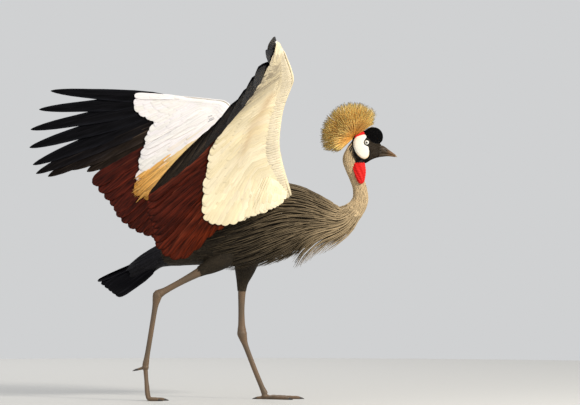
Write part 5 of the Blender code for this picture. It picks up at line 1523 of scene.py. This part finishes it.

# Bill: a short straight dagger of dark horn in two halves, browner and then pale towards its tip,
# with a dented slit of a nostril in each side, painted black as shade.
BILL_UPPER_ROWS = (
    # forward place, ridge, mouth line, half width
    (0.4700, 0.7130, 0.6905, 0.0090), (0.4790, 0.7125, 0.6900, 0.0086),
    (0.4870, 0.7085, 0.6890, 0.0072), (0.4960, 0.7015, 0.6875, 0.0058),
    (0.5070, 0.6935, 0.6850, 0.0042), (0.5150, 0.6875, 0.6815, 0.0028),
    (0.5205, 0.6822, 0.6792, 0.0012))
BILL_LOWER_ROWS = (
    (0.4700, 0.6925, 0.6800, 0.0084), (0.4790, 0.6920, 0.6808, 0.0080),
    (0.4870, 0.6908, 0.6818, 0.0066), (0.4960, 0.6890, 0.6822, 0.0052),
    (0.5070, 0.6862, 0.6812, 0.0036), (0.5150, 0.6826, 0.6798, 0.0020))
NOSTRIL = np.array((0.4900, 0.6985))


def bill_half(name, rows, keel):
    """One half of the bill; keel says how sharp its ridge is."""
    x, top, low, wide = run_through(rows, np.linspace(0.0, 1.0, 70)).T
    angle = np.arange(40) * 2.0 * math.pi / 40
    up = np.cos(angle)
    out = np.sin(angle) * (1.0 - keel * np.maximum(up, 0.0) ** 2)
    y = wide[:, None] * out
    z = (top + low)[:, None] / 2.0 + (top - low)[:, None] / 2.0 * up
    x = np.broadcast_to(x[:, None], y.shape)
    dent = np.exp(-((x - NOSTRIL[0]) / 0.0048) ** 2
                  - ((z - NOSTRIL[1] + 0.35 * (x - NOSTRIL[0])) / 0.0012) ** 2) * (keel > 0.2)
    y = y - np.sign(y) * np.minimum(np.abs(y), 0.0030) * dent
    bm = bmesh.new()
    shell(bm, np.stack([x, y, z], -1))
    item = placed_object(name, bm)
    places = corner_places(item) - BIRD_PLACE
    along = (places[:, 0] - 0.470) / 0.0505
    dark = np.array((0.050, 0.034, 0.021))
    brown = np.array((0.145, 0.078, 0.034))
    pale = np.array((0.40, 0.33, 0.24))
    colour = blended(np.broadcast_to(dark, places.shape), brown, smoothstep(0.30, 0.75, along))
    colour = blended(colour, pale, smoothstep(0.86, 1.0, along))
    # The nostril's dent is painted black: painted shade inside the slit.
    nostril_shade = np.exp(-((places[:, 0] - NOSTRIL[0]) / 0.0042) ** 2
                  - ((places[:, 2] - NOSTRIL[1] + 0.35 * (places[:, 0] - NOSTRIL[0]))
                     / 0.0010) ** 2) * (keel > 0.2)
    paint(item, blended(colour, FACE_BLACK, nostril_shade))
    return item


def horn_material():
    """Horn: own tint with long growth lines and a soft polish."""
    material = skin_material("grey-brown horn", 0.45, 500.0, 0.00008)
    material.node_tree.nodes["Principled BSDF"].inputs["Specular IOR Level"].default_value = 0.2
    nodes = material.node_tree.nodes
    links = material.node_tree.links
    place = nodes["Texture Coordinate"]
    stretch = nodes.new("ShaderNodeMapping")
    stretch.inputs["Scale"].default_value = (0.12, 1.0, 1.0)
    links.new(place.outputs["Object"], stretch.inputs["Vector"])
    links.new(stretch.outputs["Vector"], nodes["Voronoi Texture"].inputs["Vector"])
    return material


bill_material = horn_material()
for name, rows, keel in (("bill_upper", BILL_UPPER_ROWS, 0.35),
                         ("bill_lower", BILL_LOWER_ROWS, 0.0)):
    item = bill_half(name + "_horn", rows, keel)
    item.data.materials.append(bill_material)
    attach(item, "root")
    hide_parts(name)

# Throat wattle: a limp lobe of bare bright red skin, folded and finely grained.
WATTLE_ROWS = ((0.4150, -0.0030, 0.6720, 0.0140, 0.0085),
               (0.4140, -0.0110, 0.6600, 0.0170, 0.0090),
               (0.4148, -0.0175, 0.6450, 0.0172, 0.0078),
               (0.4168, -0.0205, 0.6290, 0.0145, 0.0066),
               (0.4188, -0.0215, 0.6150, 0.0105, 0.0052),
               (0.4190, -0.0220, 0.6080, 0.0060, 0.0036),
               (0.4190, -0.0220, 0.6055, 0.0020, 0.0014))
x, y, z, deep, thick = run_through(WATTLE_ROWS, np.linspace(0.0, 1.0, 90)).T
angle = np.arange(96) * 2.0 * math.pi / 96
fold = 1.0 + 0.10 * np.sin(angle[None] * 7.0 + z[:, None] * 160.0) * np.sin(
    np.linspace(0.0, math.pi, 90))[:, None]
fold = fold + 0.05 * np.sin(z[:, None] * 900.0 + 2.0 * np.sin(angle[None] * 3.0))
bm = bmesh.new()
shell(bm, np.stack([x[:, None] + np.cos(angle) * deep[:, None] * (0.5 + 0.5 * fold),
                    y[:, None] + np.sin(angle) * thick[:, None] * fold,
                    np.broadcast_to(z[:, None], (90, 96))], -1))
wattle = placed_object("wattle_lobe", bm)
places = corner_places(wattle) - BIRD_PLACE
tone = 1.0 + 0.15 * np.sin(places[:, 2] * 900.0) * np.sin(places[:, 0] * 700.0)
red = np.array((0.62, 0.010, 0.008)) * tone[:, None]
ragged = 0.0012 * np.sin(places[:, 0] * 1100.0) + 0.0009 * np.sin(places[:, 0] * 2900.0 + 1.0)
throat = smoothstep(0.6640, 0.6652, places[:, 2] + ragged)
paint(wattle, blended(red, FACE_BLACK, throat))
red_skin = skin_material("red bare skin", 0.6, 1300.0, 0.0003)
red_skin.node_tree.nodes["Principled BSDF"].inputs["Specular IOR Level"].default_value = 0.2
wattle.data.materials.append(red_skin)
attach(wattle, "root")
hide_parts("wattle")

# Crest: a fan of stiff straw-gold bristles from one spot behind the crown, each a
# little bent and twisted, with a dark tip.
CREST_FOCUS = np.array((0.4005, 0.0, 0.7360))
CREST_REACH = 0.0985
CREST_FRONT = math.radians(33.0)
CREST_BACK = math.radians(224.0)
CREST_SPREAD = math.radians(62.0)
BRISTLES = 1800
golden = math.pi * (3.0 - math.sqrt(5.0))
number = np.arange(BRISTLES)
radius = np.sqrt((number + 0.5) / BRISTLES)
pitch = (CREST_FRONT + CREST_BACK) / 2.0 + (CREST_BACK - CREST_FRONT) / 2.0 * radius * np.cos(
    number * golden)
yaw = CREST_SPREAD * radius * np.sin(number * golden)
long = CREST_REACH * (1.0 - 0.08 * radius ** 6) * rng.uniform(0.90, 1.0, BRISTLES)
long = long * (1.0 - 0.9 * np.maximum(pitch - math.radians(200.0), 0.0)
               - 1.1 * np.maximum(math.radians(50.0) - pitch, 0.0))
long = long * (1.0 + 0.04 * np.exp(-((pitch - math.radians(105.0)) / 0.5) ** 2))
pitch = pitch + rng.uniform(-0.03, 0.03, BRISTLES)
yaw = yaw + rng.uniform(-0.03, 0.03, BRISTLES)
heading = np.stack([np.cos(pitch) * np.cos(yaw), np.sin(yaw), np.sin(pitch) * np.cos(yaw)], -1)
bend = np.cross(heading, rng.normal(size=(BRISTLES, 3)))
rings = np.array((0.06, 0.25, 0.45, 0.65, 0.85, 0.93, 1.0))
t = rings[None, :, None]
wave = np.sin(t * 9.0 + rng.uniform(0.0, 6.3, (BRISTLES, 1, 1))) * 0.0006
middle = CREST_FOCUS + heading[:, None] * long[:, None, None] * t + bend[:, None] * (
    0.0022 * t * t + wave)
normal = unit(np.cross(heading, np.array((0.3, 0.9, 0.2))))
normal = np.broadcast_to(normal[:, None], middle.shape)
patch = pair(0.5 + 0.45 * radius * np.cos(number * golden),
             0.5 + 0.45 * radius * np.sin(number * golden))
bristles = Bed(middle, normal, np.full(BRISTLES, 0.0016), rings,
               (0.9, 1.0, 1.0, 1.0, 0.90, 0.65, 0.18), LOCK_SECTION, 0.00065, 0.0, 0.0, patch)
tone = rng.uniform(0.72, 1.30, BRISTLES)[:, None]
# The deeper orange towards the roots is painted shade in the crowded middle of the fan; the straw
# and the dark tips are the bristles' own colours.
deep = np.minimum(np.array((0.80, 0.37, 0.060)) * tone, 1.0)
straw = np.minimum(np.array((1.0, 0.69, 0.23)) * tone, (1.0, 0.80, 0.28))
bristles.tint(deep, straw, tip_from=0.15)
dark = smoothstep(0.91, 0.97, bristles.t)[..., None, None]
bristles.tints = bristles.tints * (1.0 - dark) + np.array((0.018, 0.012, 0.007)) * dark
crest_material = plumage_material("straw bristles", 0.5, 0.2, 0.1, 0.3)
crest = joined("crest_bristles", [bristles], crest_material)
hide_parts("crest")

# Legs: long bare shanks and tarsi in grey-brown scales, with broad plates across the
# front of each tarsus and over the toes. They end in short worn claws.
LEG_ROWS = {
    # shank, then tarsus: forward place, sideways place, height, radius
    "right": (((-0.010, -0.047, 0.3720, 0.0176), (-0.030, -0.049, 0.3610, 0.0136),
               (-0.062, -0.051, 0.3440, 0.0105), (-0.100, -0.052, 0.3235, 0.0089),
               (-0.130, -0.053, 0.3070, 0.0098), (-0.1420, -0.053, 0.3005, 0.0122),
               (-0.1480, -0.053, 0.2970, 0.0105)),
              ((-0.1420, -0.053, 0.3020, 0.0108), (-0.1490, -0.053, 0.2960, 0.0139),
               (-0.1525, -0.053, 0.2820, 0.0115), (-0.1570, -0.053, 0.2580, 0.0079),
               (-0.1680, -0.053, 0.1900, 0.0072), (-0.1780, -0.053, 0.1300, 0.0074),
               (-0.1825, -0.053, 0.1040, 0.0091), (-0.1835, -0.053, 0.0970, 0.0086))),
    "left": (((0.0875, 0.049, 0.3300, 0.0136), (0.085, 0.050, 0.295, 0.0107),
              (0.084, 0.050, 0.250, 0.0089), (0.0845, 0.050, 0.210, 0.0100),
              (0.0850, 0.050, 0.1930, 0.0125), (0.0855, 0.050, 0.1880, 0.0106)),
             ((0.0845, 0.050, 0.1945, 0.0109), (0.0855, 0.050, 0.1850, 0.0139),
              (0.0890, 0.050, 0.1710, 0.0115), (0.0965, 0.050, 0.1480, 0.0079),
              (0.1185, 0.050, 0.0900, 0.0072), (0.1400, 0.050, 0.0370, 0.0074),
              (0.1485, 0.050, 0.0180, 0.0091), (0.1500, 0.050, 0.0140, 0.0089))),
}
TOE_LENGTHS = (0.082, 0.098, 0.078, 0.024)
TOE_ANGLES = (-34.0, 2.0, 38.0, 176.0)
TOE_RADIUS = 0.0062
TOE_STEPS = ((0.0, 1.1), (0.11, 0.98), (0.22, 0.88), (0.33, 0.98), (0.45, 0.98), (0.56, 0.84),
             (0.68, 0.88), (0.80, 0.80), (0.92, 0.78), (1.0, 0.62))
LEG_VOXEL = 0.0011
SCUTE = 0.0052
LEG_COLOUR = np.array((0.138, 0.092, 0.053))


def toe_rows(start, toe, lifted):
    """Centre line of one toe down to the floor and along it, without its claw."""
    length = TOE_LENGTHS[toe]
    angle = math.radians(TOE_ANGLES[toe])
    heading = np.array((math.cos(angle), math.sin(angle), 0.0))
    radius = TOE_RADIUS * (0.8 if toe == 3 else 1.0)
    rows = []
    if lifted and toe == 3:
        for t, size in ((0.0, 1.0), (0.3, 0.9), (0.6, 0.8), (1.0, 0.6)):
            place = start + heading * length * t - np.array((0.0, 0.0, 0.25 * length * t))
            rows.append((*place, radius * size))
        return rows
    for t, size in TOE_STEPS:
        if lifted:
            drop = min(1.0, t / 0.62)
            forward = length * (0.16 * t + 0.80 * max(0.0, t - 0.52))
            place = np.array((start[0] + forward * math.cos(angle),
                              start[1] + math.sin(angle) * length * 0.55 * t,
                              start[2] * (1.0 - drop) ** 1.15))
        else:
            place = start + heading * length * t
            place[2] = start[2] * (1.0 - min(1.0, t / 0.3))
        place[2] = max(place[2], radius * size * 0.86)
        rows.append((*place, radius * size))
    return rows


def claw_rows(toe_end, before):
    """Short curved claw that runs on from a toe's end."""
    end = np.array(toe_end)
    way = unit(end[:3] - np.array(before)[:3])
    rows = []
    for t, size in ((-0.35, 0.70), (0.0, 0.72), (0.35, 0.56), (0.7, 0.34), (1.0, 0.08)):
        radius = TOE_RADIUS * size * 0.72
        place = end[:3] + way * 0.013 * t + np.array((0.0, 0.0, 0.0012 * t * (1.0 - t)))
        place[2] = max(place[2] - 0.0012 * max(t, 0.0), radius * 0.9)
        rows.append((*place, radius))
    return rows


def scaled(item, lines):
    """Raises plates and scales along a leg and colours them."""
    places = corner_places(item) - BIRD_PLACE
    best = np.full(len(places), 1e9)
    travelled = np.zeros(len(places))
    away = np.zeros_like(places)
    front = np.zeros(len(places))
    for line, ahead in lines:
        rows, length = even_rows(line, 160, 3)
        offset = places[:, None] - rows[None, :, :3]
        distance = np.linalg.norm(offset, axis=2)
        near = distance.argmin(1)
        own = distance[np.arange(len(places)), near]
        better = own < best
        away = np.where(better[:, None], unit(offset[np.arange(len(places)), near]), away)
        travelled = np.where(better, near / 159.0 * length, travelled)
        front = np.where(better, away @ np.array(ahead), front)
        best = np.minimum(best, own)
    saw = (travelled / SCUTE) % 1.0
    plate = smoothstep(0.0, 0.25, saw) * (1.0 - smoothstep(0.80, 1.0, saw))
    broad = smoothstep(0.15, 0.55, front)
    small = 0.5 + 0.5 * np.sin(travelled / 0.0026 * 2.0 * math.pi) * np.sin(
        np.arctan2(away[:, 1], away[:, 0]) * 9.0)
    height = 0.00042 * plate * broad + 0.00022 * small * (1.0 - broad)
    height = height * smoothstep(0.0004, 0.0030, places[:, 2])
    moved = places + away * height[:, None] + BIRD_PLACE
    item.data.vertices.foreach_set("co", moved.ravel())
    item.data.update()
    seam = 1.0 - 0.50 * (1.0 - plate) * broad - 0.45 * (1.0 - small) * (1.0 - broad)
    warm = 0.5 + 0.5 * np.sin(travelled * 60.0 + places[:, 1] * 300.0)
    colour = LEG_COLOUR + warm[:, None] * np.array((0.035, 0.014, 0.004))
    paint(item, colour * seam[:, None])


leg_material = skin_material("grey-brown scales", 0.55, 750.0, 0.0003)
claw_material = skin_material("dark claws", 0.4, 900.0, 0.0001)
for label, lifted in (("left", False), ("right", True)):
    shank, tarsus = LEG_ROWS[label]
    start = np.array(tarsus[-1][:3]) - np.array((0.0, 0.0, 0.004 if lifted else 0.0055))
    toes = [toe_rows(start, toe, lifted) for toe in range(4)]
    tubes = [tube(even_rows(rows, 40, 3)[0], 28, 0.0003) for rows in (shank, tarsus, *toes)]
    leg = melted("leg_" + label, tubes + [egg_rings(start, np.array((0.0095, 0.0100, 0.0085)))],
                 LEG_VOXEL, 7)
    scaled(leg, [(shank, (0.8, 0.0, 0.6)), (tarsus, (1.0, 0.0, 0.2))]
           + [(rows, (0.0, 0.0, 1.0)) for rows in toes])
    places = corner_places(leg)
    places[:, 2] = np.maximum(places[:, 2], 0.0)
    leg.data.vertices.foreach_set("co", places.ravel())
    leg.data.materials.append(leg_material)
    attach(leg, "root")
    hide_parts("shank_" + label, "tarsus_" + label, "foot_" + label)
    bm = bmesh.new()
    for rows in toes:
        shell(bm, tube(even_rows(claw_rows(rows[-1], rows[-2]), 14, 3)[0], 16, 0.0))
    claws = placed_object("claws_" + label, bm)
    claw_places = corner_places(claws)
    claw_places[:, 2] = np.maximum(claw_places[:, 2], 0.0)
    claws.data.vertices.foreach_set("co", claw_places.ravel())
    paint(claws, np.broadcast_to(np.array((0.035, 0.028, 0.024)), claw_places.shape))
    claws.data.materials.append(claw_material)
    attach(claws, "root")
    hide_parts("foot_" + label)


# Camera, floor and light: the photograph's long lens, level with the bird, and a
# plain pale studio.
IMAGE_CENTRE = (0.2205, 0.553)
VIEW_WIDTH = 1.624
CAMERA_DISTANCE = 20.0
CAMERA_RISE = math.radians(1.0)

camera_data = bpy.data.cameras.new("camera")
camera_data.sensor_width = 36.0
camera_data.lens = 36.0 * CAMERA_DISTANCE / VIEW_WIDTH
camera_data.clip_end = 200.0
camera = bpy.data.objects.new("camera", camera_data)
camera.location = (IMAGE_CENTRE[0], BIRD_PLACE[1] - CAMERA_DISTANCE * math.cos(CAMERA_RISE),
                   IMAGE_CENTRE[1] + CAMERA_DISTANCE * math.sin(CAMERA_RISE))
camera.rotation_euler = (math.pi / 2.0 - CAMERA_RISE, 0.0, 0.0)
bpy.context.scene.collection.objects.link(camera)
bpy.context.scene.camera = camera

floor_mesh = bmesh.new()
bmesh.ops.create_circle(floor_mesh, cap_ends=True, segments=96, radius=3.2)
floor_data = bpy.data.meshes.new("floor")
floor_mesh.to_mesh(floor_data)
floor_mesh.free()
floor = bpy.data.objects.new("floor", floor_data)
bpy.context.scene.collection.objects.link(floor)
floor_material = bpy.data.materials.new("pale floor")
floor_material.use_nodes = True
floor_shader = floor_material.node_tree.nodes["Principled BSDF"]
floor_shader.inputs["Base Color"].default_value = (0.52, 0.515, 0.50, 1.0)
floor_shader.inputs["Roughness"].default_value = 0.85
floor_data.materials.append(floor_material)

world = bpy.data.worlds.new("studio")
world.use_nodes = True
world.node_tree.nodes["Background"].inputs["Color"].default_value = (0.84, 0.85, 0.86, 1.0)
world.node_tree.nodes["Background"].inputs["Strength"].default_value = 0.75
bpy.context.scene.world = world
bpy.context.scene.view_settings.view_transform = "Standard"


def soft_light(name, place, aim, size, power, colour):
    data = bpy.data.lights.new(name, "AREA")
    data.shape = "DISK"
    data.size = size
    data.energy = power
    data.color = colour
    item = bpy.data.objects.new(name, data)
    item.location = place
    way = np.array(place) - np.array(aim)
    flat = math.hypot(way[0], way[1])
    item.rotation_euler = (math.atan2(flat, way[2]), 0.0, math.atan2(way[0], -way[1]))
    bpy.context.scene.collection.objects.link(item)


soft_light("key light", (3.2, -2.6, 3.0), (0.1, 0.2, 0.6), 0.9, 230.0, (1.0, 0.95, 0.86))
soft_light("fill light", (-3.0, -2.5, 1.8), (0.0, 0.2, 0.6), 2.5, 20.0, (0.92, 0.96, 1.0))
soft_light("back light", (-1.0, 3.5, 2.8), (0.0, 0.2, 0.6), 1.8, 50.0, (1.0, 1.0, 1.0))

bpy.context.view_layer.update()
